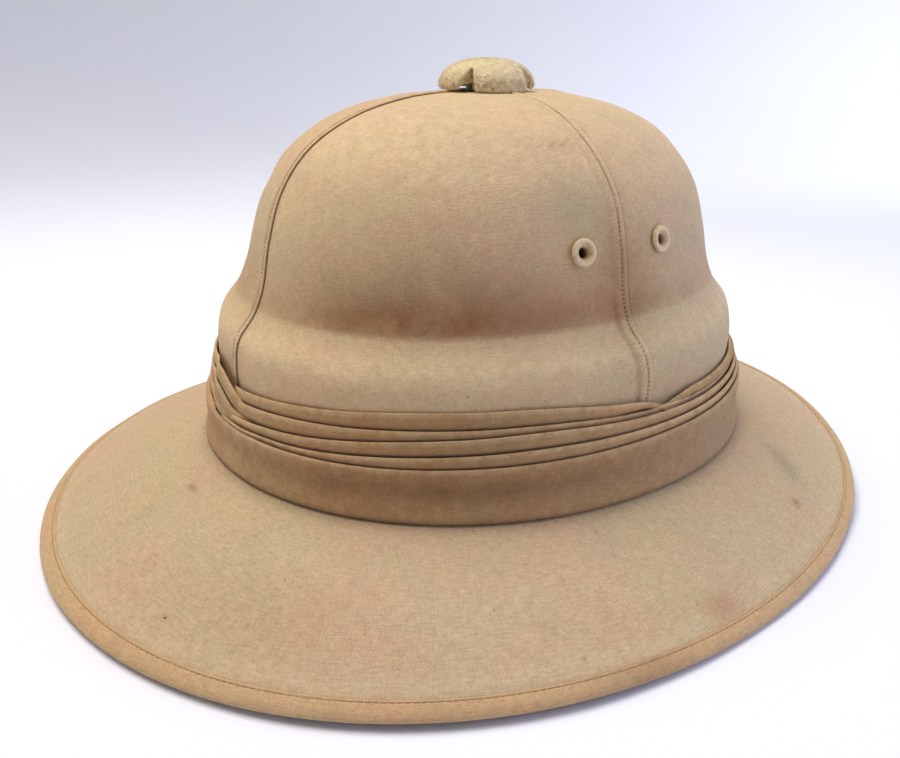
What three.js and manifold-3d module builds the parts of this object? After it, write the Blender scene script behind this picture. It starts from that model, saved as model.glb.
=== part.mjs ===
// A sun helmet of cloth-covered pith. Millimetres, +Z up. It stands on its brim at z = 0, with its
// front towards -Y and the wearer's right towards -X.
//
// Every ring of the helmet is walked by a turn angle in radians. It starts at the back (+Y) and
// grows towards the wearer's right (-X). Every surface is a function of that turn and of a second
// share that climbs from outside to inside on the brim and from bottom to top on the crown, so
// that turn x climb points out of the hat.
import * as THREE from 'three';
import { mergeVertices } from 'three/addons/utils/BufferGeometryUtils.js';
import Module from 'manifold-3d';

// ---- driving dimensions ----

const CROWN_CENTRE_Y = -8.25; // the back of the brim reaches further than its front
const TURNS = 40; // flats round every ring, a multiple of the four crown panels
const PANELS = 4;

// Plan sections of the crown's cloth: power ovals of these half sizes at these heights.
const CROWN_POWER = 2.14;
const CROWN_SECTIONS = [
  { halfLength: 112.0, halfWidth: 93.0, height: 36.0 },
  { halfLength: 112.1, halfWidth: 93.1, height: 52.8 },
  { halfLength: 112.2, halfWidth: 93.2, height: 67.4 },
  { halfLength: 110.7, halfWidth: 90.9, height: 77.0 },
  { halfLength: 103.5, halfWidth: 84.8, height: 86.6 },
  { halfLength: 98.8, halfWidth: 82.4, height: 95.8 },
  { halfLength: 94.7, halfWidth: 80.0, height: 109.8 },
  { halfLength: 88.5, halfWidth: 74.7, height: 125.8 },
  { halfLength: 77.9, halfWidth: 64.2, height: 140.2 },
  { halfLength: 60.8, halfWidth: 50.2, height: 150.6 },
  { halfLength: 36.5, halfWidth: 30.1, height: 157.0 },
  { halfLength: 9.3, halfWidth: 9.3, height: 158.8 },
];
const CROWN_ROWS = 12; // flats up the crown

// The waist is a hand-pressed crease, and isn't level all the way round.
const WAIST = { lowerOnRight: 3.5, lowerAtEnds: 1.1, from: 55.8, full: 82.8, fades: 101.8, gone: 133.8 };

// The brim starts at an oval root and ends at an edge, both given as waves round the hat:
// mean + back * cos(turn) + oval * cos(2 turn) + third * cos(3 turn) + square * cos(4 turn).
const ROOT = { halfLength: 119.8, halfWidth: 101.2, power: 2.05 };
const ROOT_HEIGHT = { mean: 25.7, back: 2.9, oval: 0.65, third: 0, square: 0 };
const EDGE_REACH = { mean: 167.5, back: 8.3, oval: 11.9, third: 0, square: -0.7 };
const EDGE_HEIGHT = { mean: 5.45, back: -3.7, oval: 2.75, third: -1.5, square: -0.15 };
const BRIM_DROOP = 0.42; // share of the drop that grows with the square of the way out
const BRIM_ROWS = [0, 0.12, 0.38, 0.7, 1];

// Layers.
const CLOTH = 0.9;
const GAP = 0.3; // clearance between pieces that touch
const CROWN_PITH = 6.0;
const BRIM_PITH_AT_ROOT = 4.6;
const BRIM_PITH_AT_EDGE = 2.0;
const SHELL_CORNER_HEIGHT = 34.0;
const SEAM_GAP = 0.4;

// The edge binding is a folded strip: how far it laps onto the brim, and its rounded nose.
const BINDING_WIDTH = 7.0;
const BINDING_NOSE = 1.8;

// Puggaree: a wound band and four folds above it. Each row gives the top of each at one turn in
// degrees, the same on both sides of the hat.
const PUGGAREE_ROWS = [
  { turn: 0, band: 47.3, fold_4: 48.6, fold_3: 50.8, fold_2: 55.8, fold_1: 59.8 },
  { turn: 20, band: 47.3, fold_4: 49.0, fold_3: 52.6, fold_2: 58.2, fold_1: 62.6 },
  { turn: 45, band: 47.3, fold_4: 51.2, fold_3: 56.4, fold_2: 59.6, fold_1: 65.6 },
  { turn: 68, band: 47.2, fold_4: 51.9, fold_3: 57.4, fold_2: 59.4, fold_1: 64.8 },
  { turn: 90, band: 46.9, fold_4: 50.4, fold_3: 54.2, fold_2: 56.0, fold_1: 58.8 },
  { turn: 104, band: 46.8, fold_4: 49.8, fold_3: 53.0, fold_2: 54.6, fold_1: 56.4 },
  { turn: 180, band: 46.6, fold_4: 49.6, fold_3: 53.0, fold_2: 54.6, fold_1: 56.4 },
];
const PUGGAREE_INSIDE = { halfLength: 112.7, halfWidth: 93.7 };
const FOLD_OVALS = {
  fold_4: { halfLength: 118.6, halfWidth: 100.0 },
  fold_3: { halfLength: 117.6, halfWidth: 99.0 },
  fold_2: { halfLength: 116.6, halfWidth: 98.0 },
  fold_1: { halfLength: 115.6, halfWidth: 97.0 },
};

// Ventilation: two eyelets each side of the crown, and a collar in its top under a cap.
const EYELET = { radius: 4.85, hole: 1.75, barrel: 3.1, height: 111.0, fromSeam: 18.8, lip: 1.6 };
const EYELET_SIDES = 14;
const COLLAR = { radius: 8.2, bore: 6.4, foot: 149.3, top: 168.2, sides: 24 };
const CAP = { radius: 18.6, rim: 160.2, top: 172.2, wall: 1.8, lobes: 4, notch: 1.9, turned: -0.28 };
const CAP_TURNS = 40;

const FLOOR_BLOCK = 420;

// ---- materials ----

function finish(color, roughness, metalness = 0) {
  return new THREE.MeshStandardMaterial({ color, roughness, metalness });
}

const materials = {
  pith: finish('#b49a78', 0.95),
  drill: finish('#b3946b', 0.9),
  puggaree: finish('#ab8860', 0.9),
  binding: finish('#a98254', 0.9),
  eyelet: finish('#c9ab82', 0.55),
  felt: finish('#c4ac80', 1.0),
  collar: finish('#8f8a80', 0.5, 0.8),
};

// ---- surfaces ----

const wasm = await Module();
wasm.setup();

function wave(turn, { mean, back, oval, third, square }) {
  return mean + back * Math.cos(turn) + oval * Math.cos(2 * turn)
    + third * Math.cos(3 * turn) + square * Math.cos(4 * turn);
}

// A point of the power oval |x / halfWidth|^power + |y / halfLength|^power = 1.
function ovalPoint(turn, halfLength, halfWidth, power, height) {
  const across = Math.sin(turn);
  const along = Math.cos(turn);
  const stretch = (Math.abs(across) ** power + Math.abs(along) ** power) ** (-1 / power);
  return new THREE.Vector3(
    -halfWidth * across * stretch,
    halfLength * along * stretch + CROWN_CENTRE_Y,
    height,
  );
}

const crownCurve = new THREE.CatmullRomCurve3(
  CROWN_SECTIONS.map((s) => new THREE.Vector3(s.halfLength, s.halfWidth, s.height)),
);

// How far the waist's crease is shifted up at a turn, fading out above and below it.
function waistShift(turn, height) {
  const rise = THREE.MathUtils.smoothstep(height, WAIST.from, WAIST.full);
  const fall = 1 - THREE.MathUtils.smoothstep(height, WAIST.fades, WAIST.gone);
  const slump = WAIST.lowerOnRight * Math.sin(turn) + WAIST.lowerAtEnds * Math.cos(2 * turn);
  return -rise * fall * slump;
}

// The crown's outer face. up runs from 0 at the panels' hem, behind the puggaree, to 1 at the
// collar's hole.
function crownFace(turn, up) {
  const s = crownCurve.getPoint(THREE.MathUtils.clamp(up, 0, 1));
  return ovalPoint(turn, s.x, s.y, CROWN_POWER, s.z + waistShift(turn, s.z));
}

// The brim's upper face. inward runs from 0 at the edge to 1 at the root, and past it to the
// crown's wall. It drops from the root by part straight line, part parabola.
function brimFace(turn, inward) {
  const root = ovalPoint(turn, ROOT.halfLength, ROOT.halfWidth, ROOT.power, wave(turn, ROOT_HEIGHT));
  const reach = wave(turn, EDGE_REACH);
  const edge = new THREE.Vector3(
    -reach * Math.sin(turn),
    reach * Math.cos(turn) + CROWN_CENTRE_Y,
    wave(turn, EDGE_HEIGHT),
  );
  const out = 1 - inward;
  const drop = (1 - BRIM_DROOP) * out + BRIM_DROOP * out * Math.abs(out);
  const point = root.clone().lerp(edge, out);
  point.z = root.z + (edge.z - root.z) * drop;
  return point;
}

// The point that lies a depth below a face, along its normal there.
function below(face, turn, share, depth) {
  const step = 0.0005;
  const sideways = face(turn + step, share).sub(face(turn - step, share));
  const climb = face(turn, share + step).sub(face(turn, share - step));
  const normal = sideways.cross(climb).normalize();
  return face(turn, share).addScaledVector(normal, -depth);
}

// Where along the brim's face its plan meets the crown's wall, a little outside it.
function brimInner(turn, clear) {
  const wall = ovalPoint(turn, CROWN_SECTIONS[0].halfLength, CROWN_SECTIONS[0].halfWidth, CROWN_POWER, 0);
  const root = brimFace(turn, 1);
  const edge = brimFace(turn, 0);
  const width = Math.hypot(edge.x - root.x, edge.y - root.y);
  const behind = Math.hypot(root.x - wall.x, root.y - wall.y) - clear;
  return 1 + behind / width;
}

// The share of the brim that a length from the edge takes up.
function brimShare(turn, length) {
  return length / brimFace(turn, 0).distanceTo(brimFace(turn, 1));
}

// ---- solids ----

function geometryFrom(points, triangles) {
  const geometry = new THREE.BufferGeometry();
  geometry.setAttribute('position', new THREE.Float32BufferAttribute(points.flatMap((p) => p.toArray()), 3));
  geometry.setIndex(outward(points, triangles).flat());
  geometry.computeVertexNormals();
  return geometry;
}

// Turns every triangle over if together they enclose a negative volume.
function outward(points, triangles) {
  let volume = 0;
  for (const [a, b, c] of triangles) {
    volume += points[a].dot(points[b].clone().cross(points[c]));
  }
  return volume > 0 ? triangles : triangles.map(([a, b, c]) => [a, c, b]);
}

function quad(triangles, a, b, c, d) {
  triangles.push([a, b, c], [a, c, d]);
}

// A closed ring: section(turn) gives the same number of points round its closed outline each time.
function ringSolid(section, turns = TURNS) {
  const loops = [];
  for (let i = 0; i < turns; i += 1) {
    loops.push(section((i / turns) * 2 * Math.PI));
  }
  const size = loops[0].length;
  const triangles = [];
  for (let i = 0; i < turns; i += 1) {
    const next = (i + 1) % turns;
    for (let j = 0; j < size; j += 1) {
      const k = (j + 1) % size;
      quad(triangles, i * size + j, next * size + j, next * size + k, i * size + k);
    }
  }
  return geometryFrom(loops.flat(), triangles);
}

// A wall between two grids of points of the same shape, closed along its four borders.
function wallSolid(outer, inner) {
  const rows = outer.length;
  const columns = outer[0].length;
  const at = (side, i, j) => side * rows * columns + i * columns + j;
  const triangles = [];
  for (let i = 0; i < rows - 1; i += 1) {
    for (let j = 0; j < columns - 1; j += 1) {
      quad(triangles, at(0, i, j), at(0, i, j + 1), at(0, i + 1, j + 1), at(0, i + 1, j));
      quad(triangles, at(1, i, j), at(1, i + 1, j), at(1, i + 1, j + 1), at(1, i, j + 1));
    }
  }
  for (let i = 0; i < rows - 1; i += 1) {
    quad(triangles, at(0, i, 0), at(0, i + 1, 0), at(1, i + 1, 0), at(1, i, 0));
    quad(triangles, at(0, i, columns - 1), at(1, i, columns - 1), at(1, i + 1, columns - 1), at(0, i + 1, columns - 1));
  }
  for (let j = 0; j < columns - 1; j += 1) {
    quad(triangles, at(0, 0, j), at(1, 0, j), at(1, 0, j + 1), at(0, 0, j + 1));
    quad(triangles, at(0, rows - 1, j), at(0, rows - 1, j + 1), at(1, rows - 1, j + 1), at(1, rows - 1, j));
  }
  return geometryFrom([...outer.flat(), ...inner.flat()], triangles);
}

// A stack of rings closed at both ends by a fan round a middle point.
function stackSolid(rings, firstMiddle, lastMiddle) {
  const size = rings[0].length;
  const points = [...rings.flat(), firstMiddle, lastMiddle];
  const first = points.length - 2;
  const triangles = [];
  for (let i = 0; i < rings.length - 1; i += 1) {
    for (let j = 0; j < size; j += 1) {
      const k = (j + 1) % size;
      quad(triangles, i * size + j, i * size + k, (i + 1) * size + k, (i + 1) * size + j);
    }
  }
  const top = (rings.length - 1) * size;
  for (let j = 0; j < size; j += 1) {
    const k = (j + 1) % size;
    triangles.push([first, k, j], [first + 1, top + j, top + k]);
  }
  return geometryFrom(points, triangles);
}

// ---- joining and cutting ----

function manifoldOf(geometry) {
  const bare = geometry.clone();
  bare.deleteAttribute('normal');
  if (bare.hasAttribute('uv')) {
    bare.deleteAttribute('uv');
  }
  const merged = mergeVertices(bare, 1e-4);
  return new wasm.Manifold(new wasm.Mesh({
    numProp: 3,
    vertProperties: new Float32Array(merged.attributes.position.array),
    triVerts: new Uint32Array(merged.index.array),
  }));
}

function geometryOf(manifold) {
  const mesh = manifold.getMesh();
  const geometry = new THREE.BufferGeometry();
  geometry.setAttribute('position', new THREE.BufferAttribute(mesh.vertProperties, 3));
  geometry.setIndex(new THREE.BufferAttribute(mesh.triVerts, 1));
  geometry.computeVertexNormals();
  return geometry;
}

function cut(geometry, cutters) {
  let solid = manifoldOf(geometry);
  for (const cutter of cutters) {
    solid = solid.subtract(manifoldOf(cutter));
  }
  return geometryOf(solid);
}

// ---- pieces ----

const helmet = new THREE.Group();

function add(name, geometry, material) {
  const mesh = new THREE.Mesh(geometry, material);
  mesh.name = name;
  helmet.add(mesh);
  return mesh;
}

// Places of the four eyelets: a point of the crown's face and the normal out of it.
function eyeletPlaces() {
  const places = [];
  for (const [side, seam] of [['right', Math.PI / 2], ['left', 1.5 * Math.PI]]) {
    for (const [end, sign] of [['back', 1], ['front', -1]]) {
      const section = crownCurve.getPoint(upAtHeight(EYELET.height));
      const away = Math.asin(EYELET.fromSeam / section.x);
      const turn = side === 'right' ? seam - sign * away : seam + sign * away;
      const up = upAtHeight(EYELET.height - waistShift(turn, EYELET.height));
      const point = crownFace(turn, up);
      const normal = point.clone().sub(below(crownFace, turn, up, 1));
      places.push({ name: `eyelet_${side}_${end}`, point, normal });
    }
  }
  return places;
}

// The share up the crown at which its curve passes a height.
function upAtHeight(height) {
  let low = 0;
  let high = 1;
  for (let i = 0; i < 40; i += 1) {
    const middle = (low + high) / 2;
    if (crownCurve.getPoint(middle).z < height) {
      low = middle;
    } else {
      high = middle;
    }
  }
  return (low + high) / 2;
}

const places = eyeletPlaces();

// Turns a shape made round +Y so that it stands on a place, along its normal.
function standOn(geometry, place) {
  const turned = new THREE.Quaternion().setFromUnitVectors(new THREE.Vector3(0, 1, 0), place.normal);
  return geometry.applyQuaternion(turned).translate(...place.point.toArray());
}

function eyeletDrills() {
  const depth = CLOTH + GAP + CROWN_PITH;
  return places.map((place) => standOn(
    new THREE.CylinderGeometry(EYELET.barrel + GAP, EYELET.barrel + GAP, 3 * depth, EYELET_SIDES),
    place,
  ));
}

// The shares up the crown of its rows, from the hem or corner to the collar's hole.
function crownRows() {
  return Array.from({ length: CROWN_ROWS + 1 }, (_, i) => i / CROWN_ROWS);
}

// The pith: one wall from the collar's hole, down the crown and out to the edge of the brim.
function shellSection(turn) {
  const skin = CLOTH + GAP;
  const inner = brimInner(turn, GAP);
  const tip = brimShare(turn, BINDING_NOSE + GAP);
  const shares = BRIM_ROWS.map((row) => tip + row * (inner - tip));
  const brimPith = (share) => THREE.MathUtils.lerp(BRIM_PITH_AT_EDGE, BRIM_PITH_AT_ROOT, Math.min(share, 1));
  const rows = crownRows();
  const outside = [
    ...shares.map((share) => below(brimFace, turn, share, skin)),
    ...rows.map((up) => below(crownFace, turn, up, skin)),
  ];
  const inside = [
    ...rows.slice(1).reverse().map((up) => below(crownFace, turn, up, skin + CROWN_PITH)),
    below(crownFace, turn, 0, skin + CROWN_PITH).setZ(SHELL_CORNER_HEIGHT - CROWN_PITH),
    ...shares.slice(0, -1).reverse().map((share) => below(brimFace, turn, share, skin + brimPith(share))),
  ];
  return [...outside, ...inside];
}

add('shell', cut(ringSolid(shellSection), eyeletDrills()), materials.pith);

// One crown panel, between two seams.
function panel(index) {
  const quarter = (2 * Math.PI) / PANELS;
  const columns = TURNS / PANELS;
  const rows = crownRows();
  const grid = (depth) => rows.map((up) => {
    const radius = crownCurve.getPoint(up).y;
    const clear = Math.asin(Math.min(SEAM_GAP / 2 / radius, 0.5));
    return Array.from({ length: columns + 1 }, (_, j) => {
      const turn = index * quarter + clear + (j / columns) * (quarter - 2 * clear);
      return below(crownFace, turn, up, depth);
    });
  });
  return cut(wallSolid(grid(0), grid(CLOTH)), eyeletDrills());
}

['back_right', 'front_right', 'front_left', 'back_left'].forEach((name, index) => {
  add(`crown_panel_${name}`, panel(index), materials.drill);
});

// The brim's top cloth, from the crown's wall to the binding.
function brimCoverSection(turn) {
  const outer = brimShare(turn, BINDING_WIDTH + GAP);
  const inner = brimInner(turn, GAP + GAP);
  const shares = [0, 0.3, 0.65, 1].map((row) => outer + row * (inner - outer));
  return [
    ...shares.map((share) => below(brimFace, turn, share, 0)),
    ...shares.reverse().map((share) => below(brimFace, turn, share, CLOTH)),
  ];
}

add('brim_cover', ringSolid(brimCoverSection), materials.drill);

// The binding: a strip folded over the brim's edge. depth 0 is the brim's upper face.
function bindingSection(turn) {
  const thick = 2 * CLOTH + 2 * GAP + BRIM_PITH_AT_EDGE;
  const at = (length, depth) => below(brimFace, turn, brimShare(turn, length), depth);
  const laps = [BINDING_WIDTH, 0.5 * BINDING_WIDTH, BINDING_NOSE];
  return [
    ...laps.map((length) => at(length, 0)),
    at(0.25 * BINDING_NOSE, 0.14 * thick),
    at(0, 0.5 * thick),
    at(0.25 * BINDING_NOSE, 0.86 * thick),
    ...laps.reverse().map((length) => at(length, thick + underLap(turn, length))),
    ...laps.reverse().map((length) => at(length, thick - CLOTH + underLap(turn, length))),
    at(CLOTH, 0.5 * thick),
    ...laps.reverse().map((length) => at(length, CLOTH)),
  ];
}

// The pith thickens towards the root, so the binding's lower lap leans away with it.
function underLap(turn, length) {
  return (BRIM_PITH_AT_ROOT - BRIM_PITH_AT_EDGE) * brimShare(turn, length);
}

const floorBlock = new THREE.BoxGeometry(FLOOR_BLOCK, FLOOR_BLOCK, FLOOR_BLOCK).translate(0, 0, -FLOOR_BLOCK / 2);
add('edge_binding', cut(ringSolid(bindingSection), [floorBlock]), materials.binding);

// A value of the puggaree's table at a turn, straight between its rows.
function puggareeTop(column, turn) {
  const degrees = THREE.MathUtils.radToDeg(turn);
  const folded = degrees > 180 ? 360 - degrees : degrees;
  const after = Math.max(1, PUGGAREE_ROWS.findIndex((row) => row.turn >= folded - 1e-6));
  const [low, high] = [PUGGAREE_ROWS[after - 1], PUGGAREE_ROWS[after]];
  const share = (folded - low.turn) / (high.turn - low.turn);
  return THREE.MathUtils.lerp(low[column], high[column], share);
}

function puggareeInside(turn, height) {
  return ovalPoint(turn, PUGGAREE_INSIDE.halfLength, PUGGAREE_INSIDE.halfWidth, CROWN_POWER, height);
}

function bandSection(turn) {
  const top = puggareeTop('band', turn);
  const foot = brimFace(turn, 1).z + GAP + 0.2;
  const insideFoot = brimFace(turn, brimInner(turn, GAP)).z + GAP + 0.4;
  const outside = (height) => ovalPoint(turn, ROOT.halfLength, ROOT.halfWidth, ROOT.power, height);
  return [
    outside(foot),
    outside((foot + top) / 2),
    outside(top),
    puggareeInside(turn, top),
    puggareeInside(turn, insideFoot),
  ];
}

add('puggaree_band', ringSolid(bandSection), materials.puggaree);

const foldOrder = ['band', 'fold_4', 'fold_3', 'fold_2', 'fold_1'];
foldOrder.slice(1).forEach((fold, index) => {
  const { halfLength, halfWidth } = FOLD_OVALS[fold];
  const section = (turn) => {
    const foot = puggareeTop(foldOrder[index], turn) + GAP;
    const top = puggareeTop(fold, turn);
    return [
      ovalPoint(turn, halfLength, halfWidth, ROOT.power, foot),
      ovalPoint(turn, halfLength, halfWidth, ROOT.power, top),
      puggareeInside(turn, top),
      puggareeInside(turn, foot),
    ];
  };
  add(`puggaree_${fold}`, ringSolid(section), materials.puggaree);
});

// An eyelet: a turned ring whose barrel goes through the cloth and the pith.
function eyeletProfile() {
  const { radius, hole, barrel, lip } = EYELET;
  const foot = -(CLOTH + GAP + CROWN_PITH);
  return [
    [hole, foot], [barrel, foot], [barrel, GAP], [radius, GAP], [radius, GAP + 0.5 * lip],
    [radius - 0.8, GAP + lip], [hole + 1.1, GAP + lip], [hole, 0.4 * lip], [hole, foot],
  ].map(([x, y]) => new THREE.Vector2(x, y));
}

for (const place of places) {
  add(place.name, standOn(new THREE.LatheGeometry(eyeletProfile(), EYELET_SIDES), place), materials.eyelet);
}

// The collar that the cap stands on, a plain tube up through the hole in the crown.
function collarProfile() {
  const { radius, bore, foot, top } = COLLAR;
  return [[bore, foot], [radius, foot], [radius, top], [bore, top], [bore, foot]]
    .map(([x, y]) => new THREE.Vector2(x, y));
}

const collar = add('vent_collar', new THREE.LatheGeometry(collarProfile(), COLLAR.sides), materials.collar);
collar.rotation.x = Math.PI / 2;
collar.position.y = CROWN_CENTRE_Y;

// The cap: a dome whose side is gathered into lobes with a notch between each two.
function capRing(share, inset) {
  return Array.from({ length: CAP_TURNS }, (_, i) => {
    const turn = (i / CAP_TURNS) * 2 * Math.PI;
    const between = Math.abs(Math.cos((CAP.lobes / 2) * (turn - CAP.turned)));
    const notch = CAP.notch * (1 - between ** 0.5) * share ** 2;
    const radius = (CAP.radius - inset) * Math.sin((share * Math.PI) / 2) - notch;
    const height = (CAP.top - inset) - (CAP.top - inset - CAP.rim) * (1 - Math.cos((share * Math.PI) / 2));
    return new THREE.Vector3(-radius * Math.sin(turn), radius * Math.cos(turn) + CROWN_CENTRE_Y, height);
  });
}

function capSolid() {
  const shares = [0.2, 0.42, 0.62, 0.8, 1];
  const middle = (height) => new THREE.Vector3(0, CROWN_CENTRE_Y, height);
  const rings = [
    ...shares.map((share) => capRing(share, CAP.wall)),
    ...shares.reverse().map((share) => capRing(share, 0)),
  ];
  return stackSolid(rings, middle(CAP.top - CAP.wall), middle(CAP.top));
}

add('vent_cap', capSolid(), materials.felt);

export default helmet;
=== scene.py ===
"""A sun helmet of cloth-covered pith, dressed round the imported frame.

Lengths are in millimetres until a mesh is made. The helmet stands on z = 0 with its front towards
-Y and the wearer's right towards -X. Every ring of it is walked by a turn: 0 at the back (+Y), 90
degrees at the wearer's right (-X), 180 at the front. Tables give turns in degrees, and functions
take them in radians.
"""

import bmesh
import bpy
import numpy as np
from mathutils import Matrix, Vector


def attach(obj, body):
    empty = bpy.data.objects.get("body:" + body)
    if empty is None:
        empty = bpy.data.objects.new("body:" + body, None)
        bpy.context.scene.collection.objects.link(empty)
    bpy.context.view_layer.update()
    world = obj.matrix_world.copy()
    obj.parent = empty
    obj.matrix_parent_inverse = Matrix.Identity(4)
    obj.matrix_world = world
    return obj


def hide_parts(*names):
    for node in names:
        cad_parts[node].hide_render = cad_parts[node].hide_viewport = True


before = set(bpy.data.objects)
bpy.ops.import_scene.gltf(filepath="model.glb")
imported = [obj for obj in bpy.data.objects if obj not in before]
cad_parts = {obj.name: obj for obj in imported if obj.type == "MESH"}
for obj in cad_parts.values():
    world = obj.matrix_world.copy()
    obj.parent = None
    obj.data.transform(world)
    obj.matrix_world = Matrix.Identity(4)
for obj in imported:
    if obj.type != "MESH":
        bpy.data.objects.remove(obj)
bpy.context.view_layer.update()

MM = 0.001
SEED = 7

# ---- sizes shared with the frame ----

CROWN_CENTRE_Y = -8.25
CROWN_POWER = 2.14
CROWN_SECTIONS = np.array(  # half length, half width, height of the crown's outer face
    [
        (112.0, 93.0, 36.0),
        (112.1, 93.1, 52.8),
        (112.2, 93.2, 67.4),
        (110.7, 90.9, 77.0),
        (103.5, 84.8, 86.6),
        (98.8, 82.4, 95.8),
        (94.7, 80.0, 109.8),
        (88.5, 74.7, 125.8),
        (77.9, 64.2, 140.2),
        (60.8, 50.2, 150.6),
        (36.5, 30.1, 157.0),
        (9.3, 9.3, 158.8),
    ]
)
WAIST = dict(right=3.5, ends=1.1, start=55.8, full=82.8, fades=101.8, gone=133.8)

ROOT = dict(half_length=119.8, half_width=101.2, power=2.05)
ROOT_HEIGHT = dict(mean=25.7, back=2.9, oval=0.65, third=0.0, square=0.0)
EDGE_REACH = dict(mean=167.5, back=8.3, oval=11.9, third=0.0, square=-0.7)
EDGE_HEIGHT = dict(mean=5.45, back=-3.7, oval=2.75, third=-1.5, square=-0.15)
BRIM_DROOP = 0.42

SKIN = 1.2  # cloth and clearance above the pith
CROWN_PITH = 6.0
BRIM_PITH_AT_ROOT = 4.6
BRIM_PITH_AT_EDGE = 2.0
SHELL_CORNER_HEIGHT = 34.0
BINDING_WIDTH = 7.0
BINDING_NOSE = 1.8

# ---- sewing ----

CLOTH = 0.55  # thickness of one layer of drill
LAP_RISE = 0.68  # how far the back seam's folded edge stands above the next panel
SIDE_PRESSED = 0.12  # how much flatter a side seam's edge lies than the back seam's, above the bulge
SIDE_RISE = 0.42  # how much it gains on the bulge
LAP_REACH = 6.4  # from the fold to the soft edge of the turned-in cloth
LAP_STITCH = 2.2  # from the fold to its row of stitches
LAP_TUCK = 3.4  # how far a panel runs on under its neighbour's fold
SEAM_WANDER = np.array(  # height, then how far the back and the right seam stray, in degrees
    [
        (36.0, 0.0, 2.0),
        (57.0, 0.0, 2.0),
        (76.0, 0.2, 2.0),
        (83.0, 0.3, 1.1),
        (90.0, 0.2, 0.2),
        (100.0, -1.5, -0.1),
        (113.0, -2.5, 0.1),
        (128.0, -3.0, 0.3),
        (141.0, -1.8, 0.0),
        (149.0, -0.8, -0.8),
        (157.0, 0.0, -1.0),
    ]
)
PANELS = ("back_right", "front_right", "front_left", "back_left")

# ---- puggaree ----

PUGGAREE_TOPS = np.array(  # turn, then the top of the band and of pleats 4, 3, 2 and 1
    [
        (0, 47.3, 48.6, 50.8, 55.8, 59.8),
        (20, 47.3, 49.0, 52.6, 58.2, 62.6),
        (45, 47.3, 51.2, 56.4, 59.6, 65.6),
        (68, 47.2, 51.9, 57.4, 59.4, 64.8),
        (90, 46.9, 50.4, 54.2, 56.0, 58.8),
        (104, 46.8, 49.8, 53.0, 54.6, 56.4),
        (180, 46.6, 49.6, 53.0, 54.6, 56.4),
    ]
)

EYELET = dict(height=111.0, from_seam=18.8, bored=3.2)
CAP = dict(radius=18.6, rim=160.2, top=172.2, lobes=4, turned=-0.28)

# ---- arithmetic ----


def smoothstep(x, low, high):
    """0 below low, 1 above high, and the cubic 3s^2 - 2s^3 between."""
    s = np.clip((x - low) / (high - low), 0.0, 1.0)
    return s * s * (3.0 - 2.0 * s)


def bump(x, middle, width):
    """A bell of height 1 round a middle value."""
    return np.exp(-(((x - middle) / width) ** 2))


def wave(turn, mean, back, oval, third, square):
    """A mean plus the first four cosines of the turn."""
    low = mean + back * np.cos(turn) + oval * np.cos(2 * turn)
    return low + third * np.cos(3 * turn) + square * np.cos(4 * turn)


def ripple(turn, size, seed, first=2, count=7):
    """A closed, wandering line round a ring: cosines of the turn with seeded heights and phases."""
    draw = np.random.default_rng(seed)
    total = np.zeros_like(turn)
    for k in range(first, first + count):
        total = total + draw.normal() * np.cos(k * turn + draw.uniform(0, 2 * np.pi)) / k**0.5
    return size * total / count**0.5


def relief(across, along, size, seed, spacing, count=24):
    """Gentle unevenness: seeded plane waves of two distances in mm, none shorter than the spacing."""
    draw = np.random.default_rng(seed)
    total = np.zeros(np.broadcast(across, along).shape)
    for _ in range(count):
        heading = draw.uniform(0, np.pi)
        reach = spacing * draw.uniform(1.0, 3.2)
        phase = draw.uniform(0, 2 * np.pi)
        run = across * np.cos(heading) + along * np.sin(heading)
        total = total + np.sin(2 * np.pi * run / reach + phase)
    return size * total / count**0.5


def curve_through(points, share):
    """A centripetal Catmull-Rom curve through points; shares from 0 to 1 move evenly from point to point."""
    ends = np.vstack([2 * points[0] - points[1], points, 2 * points[-1] - points[-2]])
    place = np.clip(share, 0.0, 1.0) * (len(points) - 1)
    index = np.minimum(np.floor(place).astype(int), len(points) - 2)
    w = (place - index)[..., None]
    a, b, c, d = (ends[index + k] for k in range(4))

    def knot(p, q):
        return (((p - q) ** 2).sum(-1) ** 0.25)[..., None]

    before, inside, after = knot(a, b), knot(b, c), knot(c, d)
    leave = ((b - a) / before - (c - a) / (before + inside) + (c - b) / inside) * inside
    arrive = ((c - b) / inside - (d - b) / (inside + after) + (d - c) / after) * inside
    return b + leave * w + (3 * (c - b) - 2 * leave - arrive) * w**2 + (2 * (b - c) + leave + arrive) * w**3


def oval_xy(turn, half_length, half_width, power):
    """The power oval |x / half width|^power + |y / half length|^power = 1."""
    across, along = np.sin(turn), np.cos(turn)
    stretch = (np.abs(across) ** power + np.abs(along) ** power) ** (-1 / power)
    return -half_width * across * stretch, half_length * along * stretch + CROWN_CENTRE_Y


# ---- the helmet's faces ----


def waist_fade(height):
    """How much of the waist's slump acts at a height: 0 at the foot, 1 at the crease, 0 again above."""
    rising = smoothstep(height, WAIST["start"], WAIST["full"])
    return rising * (1 - smoothstep(height, WAIST["fades"], WAIST["gone"]))


def waist_slump(turn):
    """How far the crease drops at a turn: down on the wearer's right, up on the left, a little down at the ends."""
    return WAIST["right"] * np.sin(turn) + WAIST["ends"] * np.cos(2 * turn)


def crown_face(turn, up):
    """The crown: ovals stacked along the section curve, with a waist whose crease isn't level."""
    section = curve_through(CROWN_SECTIONS, up)
    height = section[..., 2]
    x, y = oval_xy(turn, section[..., 0], section[..., 1], CROWN_POWER)
    return np.stack([x, y, height - waist_fade(height) * waist_slump(turn)], -1)


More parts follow.
